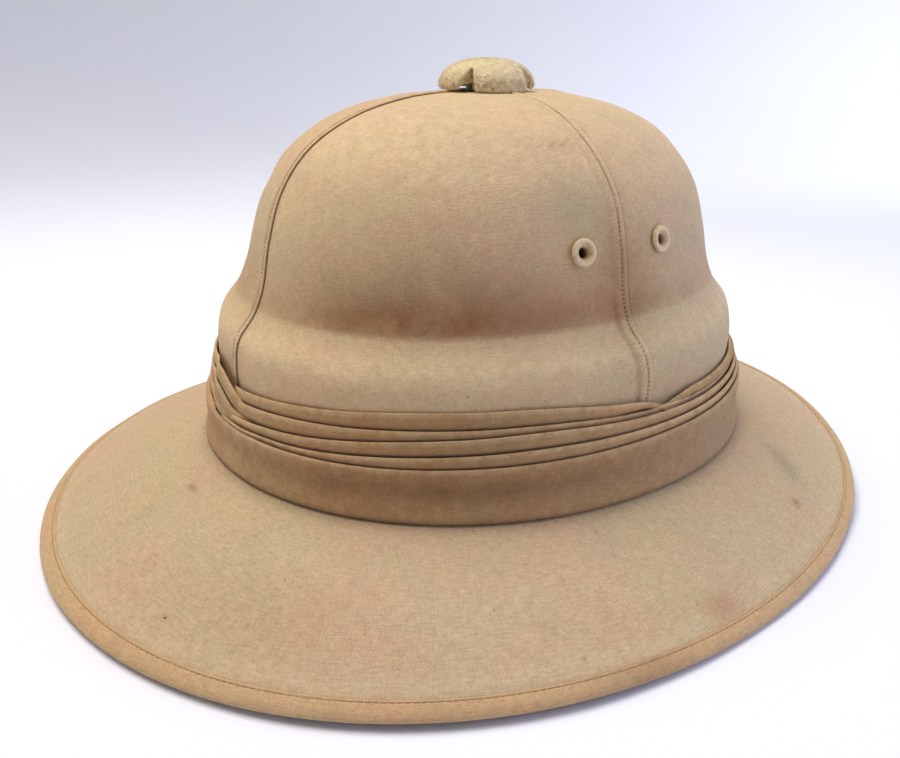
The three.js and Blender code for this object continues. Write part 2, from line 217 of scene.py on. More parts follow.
def brim_face(turn, inward):
    """The brim: straight from edge to root in plan. It drops partly evenly, partly with the square of the way out."""
    x, y = oval_xy(turn, **ROOT)
    root = np.stack([x, y, wave(turn, **ROOT_HEIGHT) + 0 * x], -1)
    reach = wave(turn, **EDGE_REACH)
    x, y = -reach * np.sin(turn), reach * np.cos(turn) + CROWN_CENTRE_Y
    edge = np.stack([x, y, wave(turn, **EDGE_HEIGHT)], -1)
    out = (1 - inward)[..., None]
    face = root * (1 - out) + edge * out
    drop = (1 - BRIM_DROOP) * out + BRIM_DROOP * out * np.abs(out)
    face[..., 2:] = root[..., 2:] + (edge[..., 2:] - root[..., 2:]) * drop
    return face


def normals(face, turn, share):
    """Unit normals out of a face: turn direction crossed with share direction, by small steps."""
    step = 5e-4
    sideways = face(turn + step, share) - face(turn - step, share)
    climb = face(turn, share + step) - face(turn, share - step)
    out = np.cross(sideways, climb)
    return out / np.linalg.norm(out, axis=-1, keepdims=True)


def raised(face, turn, share, height):
    """Points a height above a face along its normals."""
    turn, share = np.broadcast_arrays(turn, share)
    inside = np.clip(share, 6e-4, None) if face is brim_face else np.clip(share, 6e-4, 1 - 6e-4)
    return face(turn, share) + normals(face, turn, inside) * np.asarray(height)[..., None]


def brim_width(turn):
    """Length of the brim's face from edge to root at a turn."""
    return np.linalg.norm(brim_face(turn, 0 * turn) - brim_face(turn, 0 * turn + 1), axis=-1)


def brim_wall(turn, clear):
    """The share at which the brim's face reaches the crown's wall, a little outside it."""
    x, y = oval_xy(turn, CROWN_SECTIONS[0, 0], CROWN_SECTIONS[0, 1], CROWN_POWER)
    root, edge = brim_face(turn, 0 * turn + 1), brim_face(turn, 0 * turn)
    width = np.hypot(*(edge - root)[..., :2].T)
    return 1 + (np.hypot(root[..., 0] - x, root[..., 1] - y) - clear) / width


def up_at(height):
    """The share up the crown at which its section curve passes a height."""
    shares = np.linspace(0, 1, 2001)
    return np.interp(height, curve_through(CROWN_SECTIONS, shares)[:, 2], shares)


def seam_turn(index, height):
    """Turn of seam 0 to 3 at a height: back and right wander as tabled, front and left mirror them."""
    near = height[..., None] + np.linspace(-4, 4, 5)
    column = 1 + index % 2
    stray = np.interp(near, SEAM_WANDER[:, 0], SEAM_WANDER[:, column]).mean(-1)
    return np.radians(90.0 * index + (stray if index < 2 else -stray))


def lap_rise(seam, height):
    """How far a seam's folded edge stands up: least high on a side seam, most where it rounds the bulge."""
    return LAP_RISE + (seam % 2) * (SIDE_RISE * smoothstep(height, 102, 86) - SIDE_PRESSED)


# ---- meshes ----


def grid_corners(rows, columns, close_rows=False, close_columns=False):
    """Corner indices of a grid's quads, and the same with the closing row and column counted on, for UVs."""
    last_row, last_column = rows if close_rows else rows - 1, columns if close_columns else columns - 1
    i, j = np.meshgrid(np.arange(last_row), np.arange(last_column), indexing="ij")
    down = np.stack([i, i, i + 1, i + 1], -1).reshape(-1, 4)
    over = np.stack([j, j + 1, j + 1, j], -1).reshape(-1, 4)
    return (down % rows) * columns + over % columns, (down, over)


def shell_volume(points, faces):
    """Six times the signed volume inside closed quads or triangles."""
    total = 0.0
    for k in range(1, faces.shape[1] - 1):
        a, b, c = points[faces[:, 0]], points[faces[:, k]], points[faces[:, k + 1]]
        total += (a * np.cross(b, c)).sum()
    return total


def make_piece(name, points, faces, material, slot, corner_uv=None, marks=None, closed=True, ends=None):
    """A smooth mesh at the origin from points in mm, its faces turned outwards, with UVs in mm and named marks on its
    points. Ends are triangles that close it and need no UVs."""
    points = points.reshape(-1, 3)
    ends = np.zeros((0, 3), int) if ends is None else ends
    if closed and shell_volume(points, faces) < 0:
        faces, ends = faces[:, ::-1], ends[:, ::-1]
        corner_uv = None if corner_uv is None else corner_uv[:, ::-1]
    mesh = bpy.data.meshes.new(name)
    mesh.from_pydata((points * MM).tolist(), [], faces.tolist() + ends.tolist())
    if corner_uv is not None:
        layer = mesh.uv_layers.new(name="cloth")
        corners = np.concatenate([corner_uv.reshape(-1), np.zeros(2 * ends.size)])
        layer.data.foreach_set("uv", corners.astype(np.float32))
    for mark, values in (marks or {}).items():
        attribute = mesh.attributes.new(mark, "FLOAT", "POINT")
        attribute.data.foreach_set("value", np.clip(values, 0, 1).reshape(-1).astype(np.float32))
    mesh.shade_smooth()
    mesh.materials.append(material)
    piece = bpy.data.objects.new(name, mesh)
    bpy.context.scene.collection.objects.link(piece)
    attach(piece, "root")
    return piece


def grid_piece(name, grid, material, slot, uv=None, marks=None, close_rows=False, close_columns=False, flip=False):
    """A piece from a grid of points. Its UVs' grid is one larger wherever the grid closes on itself."""
    rows, columns = grid.shape[:2]
    faces, (down, over) = grid_corners(rows, columns, close_rows, close_columns)
    corner_uv = None if uv is None else uv[down, over]
    if flip:
        faces = faces[:, ::-1]
        corner_uv = None if corner_uv is None else corner_uv[:, ::-1]
    closed = close_rows and close_columns
    return make_piece(name, grid, faces, material, slot, corner_uv, marks, closed)


def thicken(piece, thickness):
    """Gives a sheet its thickness, inwards from the modelled face, and a closed rim."""
    wall = piece.modifiers.new("cloth thickness", "SOLIDIFY")
    wall.thickness = thickness * MM
    wall.offset = -1.0
    wall.use_rim = True


# ---- materials ----


def linear(hex_colour):
    """A linear RGBA colour from a display hex colour."""
    c = np.array([int(hex_colour[k : k + 2], 16) / 255 for k in (1, 3, 5)])
    c = np.where(c <= 0.04045, c / 12.92, ((c + 0.055) / 1.055) ** 2.4)
    return (*c.tolist(), 1.0)


class Finish:
    """A material being wired: each method adds one node and returns its output socket."""

    def __init__(self, name):
        self.material = bpy.data.materials.new(name)
        self.material.use_nodes = True
        self.nodes = self.material.node_tree.nodes
        self.links = self.material.node_tree.links
        self.shader = self.nodes["Principled BSDF"]
        self.places = self.nodes.new("ShaderNodeTexCoord")

    def feed(self, node, **inputs):
        for key, value in inputs.items():
            numbered = key[0] == "_" and key[1:].isdigit()
            socket = node.inputs[int(key[1:])] if numbered else node.inputs[key.replace("_", " ")]
            if isinstance(value, bpy.types.NodeSocket):
                self.links.new(value, socket)
            else:
                socket.default_value = value
        return node

    def noise(self, size, detail=3.0, roughness=0.55, distortion=0.0, seed=0.0):
        """Noise whose lumps are about a size in mm."""
        shift = self.nodes.new("ShaderNodeMapping")
        self.feed(shift, Vector=self.places.outputs["Object"], Location=(seed, 0.7 * seed, 0.3 * seed))
        node = self.nodes.new("ShaderNodeTexNoise")
        self.feed(node, Vector=shift.outputs[0], Scale=1 / (size * MM))
        self.feed(node, Detail=detail, Roughness=roughness, Distortion=distortion)
        return node.outputs["Fac"]

    def ramp(self, value, low, high):
        """0 below low, 1 above high, smooth between."""
        node = self.feed(self.nodes.new("ShaderNodeMapRange"), Value=value)
        node.interpolation_type = "SMOOTHSTEP"
        self.feed(node, _1=low, _2=high)
        return node.outputs[0]

    def math(self, operation, a, b=0.0):
        node = self.nodes.new("ShaderNodeMath")
        node.operation = operation
        self.feed(node, _0=a, _1=b)
        return node.outputs[0]

    def blend(self, share, first, second, mode="MIX"):
        node = self.nodes.new("ShaderNodeMix")
        node.data_type = "RGBA"
        node.blend_type = mode
        for socket, value in zip((node.inputs[0], node.inputs[6], node.inputs[7]), (share, first, second)):
            if isinstance(value, bpy.types.NodeSocket):
                self.links.new(value, socket)
            else:
                socket.default_value = value
        return node.outputs[2]

    def mark(self, name):
        node = self.nodes.new("ShaderNodeAttribute")
        node.attribute_name = name
        return node.outputs["Fac"]

    def spot(self, place, size):
        """A ragged dark spot of a size in mm round a place in mm."""
        ragged = self.nodes.new("ShaderNodeTexNoise")
        self.feed(ragged, Vector=self.places.outputs["Object"], Scale=1 / (0.8 * MM))
        apart = self.nodes.new("ShaderNodeVectorMath")
        apart.operation = "DISTANCE"
        self.feed(apart, _0=self.places.outputs["Object"], _1=[c * MM for c in place])
        away = self.math("DIVIDE", apart.outputs["Value"], size * MM)
        span = self.math("ADD", away, self.math("MULTIPLY", ragged.outputs["Fac"], 1.1))
        return self.ramp(span, 1.2, 0.9)

    def threads(self, pitch, heading=(1.0, 0.0)):
        """Rows of thread a pitch apart across the cloth's own UVs, in mm, along a heading."""
        split = self.feed(self.nodes.new("ShaderNodeSeparateXYZ"), Vector=self.places.outputs["UV"])
        across = self.math("MULTIPLY", split.outputs[0], heading[0] * 2 * np.pi / pitch)
        along = self.math("MULTIPLY", split.outputs[1], heading[1] * 2 * np.pi / pitch)
        return self.math("SINE", self.math("ADD", across, along))

    def slubs(self, long, thin, seed):
        """Uneven threads: noise drawn out to a length and width in mm along the cloth's own UVs."""
        drawn = self.nodes.new("ShaderNodeMapping")
        self.feed(drawn, Vector=self.places.outputs["UV"], Location=(seed, 3 * seed, 0), Scale=(1 / long, 1 / thin, 1))
        node = self.nodes.new("ShaderNodeTexNoise")
        self.feed(node, Vector=drawn.outputs[0], Scale=1.0, Detail=2.0, Roughness=0.6)
        return node.outputs["Fac"]

    def relief(self, height, distance, strength=1.0, under=None):
        node = self.nodes.new("ShaderNodeBump")
        self.feed(node, Height=height, Distance=distance * MM, Strength=strength)
        if under is not None:
            self.links.new(under, node.inputs["Normal"])
        return node.outputs[0]

    def done(self, colour, roughness, relief=None, sheen=0.0, metallic=0.0, sheen_tint=(1, 1, 1, 1)):
        self.feed(self.shader, **{"Base Color": colour, "Roughness": roughness, "Metallic": metallic})
        self.shader.inputs["Sheen Weight"].default_value = sheen
        self.shader.inputs["Sheen Roughness"].default_value = 0.45
        self.shader.inputs["Sheen Tint"].default_value = sheen_tint
        self.shader.inputs["Specular IOR Level"].default_value = 0.25
        if relief is not None:
            self.links.new(relief, self.shader.inputs["Normal"])
        return self.material


def drill(name, base, warm, cool, soil, worn, twill=(1.0, 1.0), pitch=0.62, seed=0.0, spots=()):
    """Faded cotton drill: a fine twill of uneven threads, clouded by fading, darkened by its marks for dirt and painted
    shade, and paled by its marks for wear and painted highlights.
    """
    f = Finish(name)
    clouds = f.noise(46, 4, 0.6, 0.4, seed)
    patches = f.noise(17, 5, 0.65, 0.8, seed + 3)
    mottle = f.noise(4.2, 4, 0.6, 0, seed + 5)
    fibre = f.noise(0.75, 3, 0.7, 0, seed + 8)
    colour = f.blend(f.ramp(clouds, 0.40, 0.62), linear(base), linear(warm))
    colour = f.blend(f.math("MULTIPLY", f.ramp(patches, 0.46, 0.72), 0.42), colour, linear(cool))
    colour = f.blend(f.math("MULTIPLY", f.ramp(mottle, 0.36, 0.74), 0.28), colour, linear(worn))
    # Paled where the marks carry wear and painted highlights; darkened below where they carry dirt and painted shade.
    paling = f.math("MULTIPLY", f.mark("worn"), f.ramp(mottle, 0.2, 0.6))
    colour = f.blend(f.math("MULTIPLY", paling, 0.75), colour, linear(worn))
    patchy = f.math("ADD", f.math("MULTIPLY", f.ramp(patches, 0.25, 0.65), 0.28), 0.72)
    darkening = f.math("MULTIPLY", f.mark("soil"), patchy)
    colour = f.blend(darkening, colour, linear(soil))
    colour = f.blend(f.math("MULTIPLY", f.mark("red"), 0.8), colour, linear("#a2694d"))
    colour = f.blend(f.math("MULTIPLY", f.mark("grey"), 0.8), colour, linear("#8f8674"))
    specks = f.ramp(f.noise(2.3, 2, 0.5, 0, seed + 11), 0.735, 0.80)
    colour = f.blend(f.math("MULTIPLY", specks, 0.55), colour, linear("#7d5f44"))
    for x, y, z, size in spots:
        colour = f.blend(f.math("MULTIPLY", f.spot((x, y, z), size), 0.85), colour, linear("#4a3826"))
    rows = f.threads(pitch, twill)
    cross = f.threads(pitch * 0.8, (1.0, -1.0))
    weave = f.math("ADD", f.math("MULTIPLY", rows, 0.5), f.math("MULTIPLY", cross, 0.2))
    weft, warp = f.slubs(3.2, 0.58, seed + 1), f.slubs(0.58, 3.0, seed + 2)
    slub = f.math("ADD", f.math("MULTIPLY", weft, 0.6), f.math("MULTIPLY", warp, 0.4))
    shade = f.math("ADD", f.math("MULTIPLY", weave, 0.04), f.math("MULTIPLY", fibre, 0.46))
    tone = f.math("ADD", f.math("ADD", shade, f.math("MULTIPLY", slub, 0.90)), 0.32)
    combine = f.feed(f.nodes.new("ShaderNodeCombineXYZ"), X=tone, Y=tone, Z=tone)
    colour = f.blend(1.0, colour, combine.outputs[0], "MULTIPLY")
    normal = f.relief(f.math("ADD", weave, f.math("MULTIPLY", slub, 2.0)), 0.07, 0.8)
    lumpy = f.math("ADD", f.math("MULTIPLY", mottle, 0.5), f.math("MULTIPLY", fibre, 0.7))
    normal = f.relief(lumpy, 0.34, 0.7, normal)
    roughness = f.math("ADD", f.math("MULTIPLY", patches, 0.14), 0.80)
    return f.done(colour, roughness, normal, sheen=0.18, sheen_tint=linear("#f1e2c8"))


def thread_finish(name, pale, dark):
    """Twisted sewing cotton, grubby in places."""
    f = Finish(name)
    tone = f.ramp(f.noise(9, 3, 0.6), 0.35, 0.65)
    twist = f.ramp(f.noise(0.35, 1, 0.5), 0.3, 0.7)
    colour = f.blend(tone, linear(dark), linear(pale))
    roughness = f.math("ADD", f.math("MULTIPLY", twist, 0.1), 0.75)
    return f.done(colour, roughness, f.relief(twist, 0.06, 0.6), sheen=0.1)


def felt_finish():
    """Brushed cream felt: matted fibres, a yellowed crown and scuffed brown flecks low on the lobes."""
    f = Finish("cap felt")
    lumps = f.noise(2.6, 4, 0.7, 0.5)
    fibre = f.noise(0.55, 4, 0.75, 1.5, 2.0)
    colour = f.blend(f.ramp(lumps, 0.35, 0.68), linear("#d8bd8d"), linear("#eedbae"))
    colour = f.blend(f.math("MULTIPLY", f.mark("worn"), 0.8), colour, linear("#fdedb8"))
    flecks = f.math("MULTIPLY", f.ramp(f.noise(1.5, 3, 0.6, 0.5, 5.0), 0.52, 0.66), f.mark("soil"))
    colour = f.blend(flecks, colour, linear("#8a6148"))
    colour = f.blend(f.math("MULTIPLY", f.ramp(fibre, 0.3, 0.75), 0.35), colour, linear("#fff3d4"))
    normal = f.relief(f.math("ADD", lumps, fibre), 0.32, 0.8)
    roughness = f.math("ADD", f.math("MULTIPLY", lumps, 0.05), 0.93)
    return f.done(colour, roughness, normal, sheen=0.6, sheen_tint=linear("#fff4d2"))


def eyelet_finish():
    """Cream paint on a turned ring, dulled by handling."""
    f = Finish("eyelet enamel")
    dirt = f.noise(1.6, 4, 0.65, 0.3)
    turned = f.noise(0.5, 2, 0.5)
    colour = f.blend(f.ramp(dirt, 0.38, 0.72), linear("#d3b78f"), linear("#b8966d"))
    # Darkened where its marks carry painted shade: down the bore and round the ring's foot.
    colour = f.blend(f.mark("soil"), colour, linear("#5d4533"))
    colour = f.blend(f.math("MULTIPLY", f.mark("worn"), 0.5), colour, linear("#e6cfa9"))
    f.shader.inputs["Coat Weight"].default_value = 0.12
    f.shader.inputs["Coat Roughness"].default_value = 0.4
    roughness = f.math("ADD", f.math("MULTIPLY", dirt, 0.2), 0.40)
    return f.done(colour, roughness, f.relief(f.math("ADD", dirt, turned), 0.05, 0.6))


def pith_finish():
    """Pressed pith: pale cork-like grain with darker pores."""
    f = Finish("pressed pith")
    grain = f.noise(3.0, 5, 0.65, 0.3)
    pores = f.ramp(f.noise(1.3, 3, 0.6, 0, 4.0), 0.62, 0.72)
    colour = f.blend(f.ramp(grain, 0.35, 0.7), linear("#b79c77"), linear("#cdb694"))
    colour = f.blend(f.math("MULTIPLY", pores, 0.6), colour, linear("#7f664a"))
    normal = f.relief(f.math("SUBTRACT", grain, f.math("MULTIPLY", pores, 0.6)), 0.4, 0.8)
    return f.done(colour, f.math("ADD", f.math("MULTIPLY", grain, 0.1), 0.85), normal)


def collar_finish():
    """Dull aluminium, brushed round, with a bloom of oxide."""
    f = Finish("collar metal")
    bloom = f.noise(5, 4, 0.6)
    brushed = f.noise(0.4, 2, 0.5)
    colour = f.blend(f.ramp(bloom, 0.4, 0.7), linear("#8d897f"), linear("#6e675b"))
    roughness = f.math("ADD", f.math("MULTIPLY", bloom, 0.25), 0.35)
    return f.done(colour, roughness, f.relief(brushed, 0.03, 0.5), metallic=0.9)


BRIM_SPOTS = (  # turn, mm in from the edge, size in mm
    (18.1, 16.0, 0.95),
    (1.2, 56.5, 0.7),
    (0.3, 55.4, 0.55),
    (3.1, 51.0, 0.35),
    (6.0, 48.0, 0.3),
    (2.5, 31.5, 0.3),
    (113.3, 20.5, 0.9),
    (112.6, 18.8, 0.6),
    (10.2, 53.0, 0.35),
)


def brim_spots():
    """The spots' places on the brim's face, with their sizes."""
    turns, outs, sizes = np.array(BRIM_SPOTS).T
    turns = np.radians(turns)
    return [(*place, size) for place, size in zip(brim_face(turns, outs / brim_width(turns)).tolist(), sizes)]


# Each drill's colours: its own, a warmer, a cooler, its dirt and painted shade, and where it is paled by wear and
# painted highlights.
CROWN_COLOURS = ("#caaf85", "#cfab86", "#b8a984", "#855732", "#dfc79f")
BRIM_COLOURS = ("#bba682", "#c1a282", "#b09f82", "#7f6146", "#ceb996")
HEM_COLOURS = ("#bf9f76", "#c59d75", "#b19773", "#7b5b3d", "#ceb188")
PUGGAREE_COLOURS = ("#ae8c60", "#b2875c", "#a18964", "#684629", "#d3b489")

crown_drill = drill("crown drill", *CROWN_COLOURS, seed=0.1)
brim_drill = drill("brim drill", *BRIM_COLOURS, seed=1.3, spots=brim_spots())
hem_drill = drill("hem drill", *HEM_COLOURS, twill=(1.0, 0.9), pitch=0.9, seed=2.2)
puggaree_cotton = drill("puggaree cotton", *PUGGAREE_COLOURS, twill=(1.0, 0.25), pitch=0.5, seed=3.1)
seam_thread = thread_finish("seam thread", "#e4d0aa", "#ad8e66")
hem_thread = thread_finish("hem thread", "#a08558", "#86704a")
needle_shadow = thread_finish("needle shadow", "#6b5138", "#4c3828")

# ---- crown panels ----


def panel_columns():
    """Places across a panel: mm from its tucked edge, then mm before its fold, closer where the cloth bends."""
    tucked = np.array([-LAP_TUCK, -1.6, -0.2, 0.7, 1.6, 2.8, 4.4, 6.4])
    soft_edge = [9.5, 7.6, 6.8, 6.3, 5.8, 5.2, 4.4]
    stitched = [3.4, 2.9, 2.6, 2.4, 2.2, 2.0, 1.8, 1.5]
    fold = [1.1, 0.7, 0.45, 0.27, 0.13, 0.04, 0.0]
    return tucked, np.array(soft_edge + stitched + fold)


def crown_marks(turn, height):
    """Where the crown's cloth is dirty or darkened as painted shade, reddened, greyed, paled by wear or lightened as a
    painted highlight: bells of turn in degrees and height in mm.
    """
    t, h = np.degrees(turn), height
    # Just above the waist crease the cloth darkens, most at the back right: partly dirt, partly painted shade.
    crease = bump(h, 89.5, 7.5) * smoothstep(h, 85.2, 87.8)
    side = 0.35 + 0.65 * bump(t, 45, 42)
    soil = 0.62 * crease * side + 0.25 * bump(h, 100, 12) * side
    # Dirt beside the right side seam, and painted shade in a band at 56 mm along the top pleat's upper edge.
    soil = soil + 0.30 * bump(t, 90, 9) * bump(h, 100, 22) + 0.20 * bump(h, 56, 5)
    # The darkening above the crease carries on round the left: partly dirt, partly painted shade.
    soil = soil + 0.35 * bump(t, 225, 50) * bump(h, 92, 10) + 0.3 * bump(t, 300, 40) * bump(h, 95, 12)
    # Painted shade: the lower crown darker at the back right, and the back-left panel darker all over.
    soil = soil + 0.28 * bump(h, 98, 15) * smoothstep(h, 84, 88) * bump(t, 50, 28) + 0.12 * bump(t, 332, 30)
    scratch = bump(h, 144.6 + 0.8 * np.sin(t * 1.7), 0.8)
    scratch = scratch * smoothstep(t, 64, 67) * (1 - smoothstep(t, 82, 85))
    soil = soil + 0.45 * scratch * (0.5 + 0.5 * np.sin(t * 9))
    red = 0.42 * bump(t, 86.5, 3.4) * bump(h, 106, 15) + 0.25 * bump(t, 94, 2.5) * bump(h, 104, 12)
    red = red + 0.15 * bump(t, 66, 16) * bump(h, 92, 6) + 0.12 * bump(t, 76, 8) * bump(h, 100, 8)
    grey = 0.40 * bump(t, 78, 9) * bump(h, 127, 10) + 0.25 * bump(t, 118, 16) * bump(h, 110, 30)
    grey = grey + 0.2 * bump(t, 110, 30) * bump(h, 66, 10)
    # Paled by wear on the bulge's shoulder; near the top, most at the back, the paling is a painted highlight.
    worn = 0.55 * bump(h, 77, 6) + 0.50 * bump(h, 144, 12) * bump(t, 28, 40) + 0.25 * bump(h, 146, 12)
    return {"soil": soil, "red": red, "grey": grey, "worn": worn}


def crown_panel(index):
    """One quarter of the crown's cloth: the crown's face between two seams. Its high edge is turned under and laps over
    the next panel, and its low edge runs on under the last panel's fold."""
    rows = np.concatenate([np.linspace(0, 0.9, 120), np.linspace(0.907, 1, 9)])
    section = curve_through(CROWN_SECTIONS, rows)
    radius = (section[:, 0] + section[:, 1]) / 2
    low, high = seam_turn(index, section[:, 2]), seam_turn((index + 1) % 4, section[:, 2])
    high = high + (2 * np.pi if index == 3 else 0)
    tucked, folded = panel_columns()
    closing = np.clip(radius / 60, 0.0, 1.0)[:, None]  # near the top every distance shrinks with the ring
    from_low = low[:, None] + tucked * closing / radius[:, None]
    from_high = high[:, None] - folded * closing / radius[:, None]
    share = np.linspace(0, 1, 46)[1:-1]
    between = from_low[:, -1:] + share * (from_high[:, :1] - from_low[:, -1:])
    turn = np.concatenate([from_low, between, from_high], 1)
    up = np.repeat(rows[:, None], turn.shape[1], 1)
    to_fold = (high[:, None] - turn) * radius[:, None] / closing
    past_tuck = (turn - low[:, None]) * radius[:, None] / closing
    rise = lap_rise((index + 1) % 4, section[:, 2])[:, None]
    lift = rise * (1 - smoothstep(to_fold, LAP_REACH - 1.6, LAP_REACH))
    lift -= 0.34 * bump(to_fold, LAP_STITCH, 0.42)
    lift -= 0.50 * (1 - np.sqrt(np.clip(1 - (np.clip(0.5 - to_fold, 0, 0.5) / 0.5) ** 2, 0, 1)))
    lift -= 0.12 * (1 - smoothstep(past_tuck, 0.2, 2.2)) + 0.10 * (1 - smoothstep(past_tuck, -2, 0))
    across = (turn - low[:, None]) * radius[:, None]
    along = run_along(section)[:, None] + 0 * turn
    calm = 1 - bump(to_fold, 0, 3.0) - bump(past_tuck, 0, 3.0)
    lift += relief(across, along, 0.16, SEED + index, 17) * np.clip(calm, 0, 1)
    lift = lift * smoothstep(1 - up, 0.0, 0.03)
    points = raised(crown_face, turn, up, lift)
    marks = crown_marks(turn, points[..., 2])
    # Along each seam: dirt on the stitching; painted shade in a dark line where the panel runs under its neighbour's
    # fold, and at the soft edge of the turned-in cloth where a side seam stands up on the bulge; the fold itself paled
    # by wear.
    marks["soil"] = marks["soil"] + 0.22 * bump(to_fold, LAP_STITCH, 0.5) + 0.80 * bump(past_tuck, 0.0, 0.6)
    marks["soil"] = marks["soil"] + 0.45 * (rise - LAP_RISE) * bump(to_fold, LAP_REACH - 0.3, 0.9)
    marks["worn"] = marks["worn"] + 0.35 * bump(to_fold, 0.5, 0.8)
    uv = np.stack([across, along], -1)
    name = PANELS[index]
    piece = grid_piece(f"crown_cloth_{name}", points, crown_drill, "drill_cloth", uv, marks)
    thicken(piece, CLOTH)
    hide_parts(f"crown_panel_{name}")
    return piece


def run_along(line):
    """Distance along a line of points, from its first."""
    return np.concatenate([[0], np.cumsum(np.linalg.norm(np.diff(line, axis=0), axis=1))])


def capsule():
    """A stitch to copy: an oval tube one unit long on x, half a unit high, with points at both ends."""
    stations = np.array([-0.42, -0.2, 0.2, 0.42])
    thick = np.array([0.62, 1.0, 1.0, 0.62])
    around = np.linspace(0, 2 * np.pi, 6, endpoint=False)
    rings = np.stack(
        [
            np.repeat(stations[:, None], 6, 1),
            0.5 * thick[:, None] * np.cos(around),
            0.5 * thick[:, None] * np.sin(around),
        ],
        -1,
    ).reshape(-1, 3)
    points = np.vstack([rings, [(-0.5, 0, 0), (0.5, 0, 0)]])
    faces, _ = grid_corners(4, 6, close_columns=True)
    ring = np.arange(6)
    first = np.stack([ring, (ring + 1) % 6, 0 * ring + 24], -1)
    last = np.stack([18 + (ring + 1) % 6, 18 + ring, 0 * ring + 25], -1)
    return points, np.vstack([np.vstack([faces[:, [0, 1, 2]], faces[:, [0, 2, 3]]]), first, last])


def stitches(name, places, ways, outs, length, width, material, slot):
    """A row of stitches: the capsule laid at each place, along its way, its height along the outward normal."""
    unit, faces = capsule()
    ways = ways / np.linalg.norm(ways, axis=-1, keepdims=True)
    sides = np.cross(outs, ways)
    local = unit * np.array([length, width, width * 0.8])
    points = (
        places[:, None]
        + local[None, :, :1] * ways[:, None]
        + local[None, :, 1:2] * sides[:, None]
        + local[None, :, 2:] * outs[:, None]
    )
    all_faces = (faces[None] + (np.arange(len(places)) * len(unit))[:, None, None]).reshape(-1, 3)
    return make_piece(name, points, all_faces, material, slot)


def evenly(line, pitch):
    """Shares along a line of points that step by an even pitch."""
    run = run_along(line)
    steps = np.arange(pitch / 2, run[-1], pitch)
    return np.interp(steps, run, np.linspace(0, 1, len(line)))


def seam_stitches(index):
    """The top stitching beside one seam's fold, from the puggaree to the cap."""
    draw = np.random.default_rng(SEED + 20 + index)
    seam = (index + 1) % 4
    rows = np.linspace(up_at(50.0), 0.93, 800)

    def line(up, raise_by):
        section = curve_through(CROWN_SECTIONS, up)
        radius = (section[:, 0] + section[:, 1]) / 2
        turn = seam_turn(seam, section[:, 2]) + (2 * np.pi if index == 3 else 0)
        turn = turn - LAP_STITCH * np.clip(radius / 60, 0, 1) / radius
        return raised(crown_face, turn, up, 0 * up + raise_by), turn

    path, _ = line(rows, 0.0)
    up = rows[0] + evenly(path, 1.55) * (rows[-1] - rows[0])
    height = curve_through(CROWN_SECTIONS, up)[:, 2]
    proud = lap_rise(seam, height) - 0.20 + 0.14 * smoothstep(height, 112, 126)
    places, turn = line(up, proud)
    ahead, _ = line(up + 0.002, proud)
    outs = normals(crown_face, turn, np.clip(up, 6e-4, 1 - 6e-4))
    ways = ahead - places + draw.normal(0, 0.02, places.shape)
    name = f"seam_stitches_{PANELS[index]}"
    row = stitches(name, places, ways, outs, 1.05, 0.48, seam_thread, "drill_cloth")
    shift = 0.5 * (up[1:] - up[:-1])
    low = height[:-1] < 122
    holes = line(up[:-1] + shift, proud[:-1] - 0.16)[0][low]
    name = f"needle_holes_{PANELS[index]}"
    ways, outs = ways[:-1][low], outs[:-1][low]
    row_holes = stitches(name, holes, ways, outs, 0.58, 0.42, needle_shadow, "drill_cloth")
    return [row, row_holes]


panels = [crown_panel(k) for k in range(4)]
seam_rows = [seam_stitches(k) for k in range(4)]

# ---- pith ----


def pith_body():
    """The pith wall: a closed outline at each turn, up over brim and crown and back inside, carried round the hat."""
    turn = np.linspace(0, 2 * np.pi, 240, endpoint=False)
    up = np.linspace(0, 1, 44)
    shares = np.linspace(0, 1, 22)
    tip = (BINDING_NOSE + 0.4) / brim_width(turn)
    wall = brim_wall(turn, 0.3)

    def brim_row(share, depth):
        return raised(brim_face, turn, tip + share * (wall - tip), -depth + 0 * turn)

    def crown_row(share, depth):
        return raised(crown_face, turn, share + 0 * turn, -depth + 0 * turn)

    loops = [brim_row(s, SKIN) for s in shares]
    loops += [crown_row(u, SKIN) for u in up]
    loops += [crown_row(u, SKIN + CROWN_PITH) for u in up[:0:-1]]
    corner = crown_row(0.0, SKIN + CROWN_PITH)
    corner[:, 2] = SHELL_CORNER_HEIGHT - CROWN_PITH
    loops.append(corner)
    for s in shares[-2::-1]:
        pith = BRIM_PITH_AT_EDGE + min(s, 1) * (BRIM_PITH_AT_ROOT - BRIM_PITH_AT_EDGE)
        loops.append(brim_row(s, SKIN + pith))
    grid = np.array(loops)
    piece = grid_piece("pith_body", grid, pith_finish(), "pith", close_rows=True, close_columns=True)
    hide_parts("shell")
    return piece


pith = pith_body()

# ---- brim and hem ----


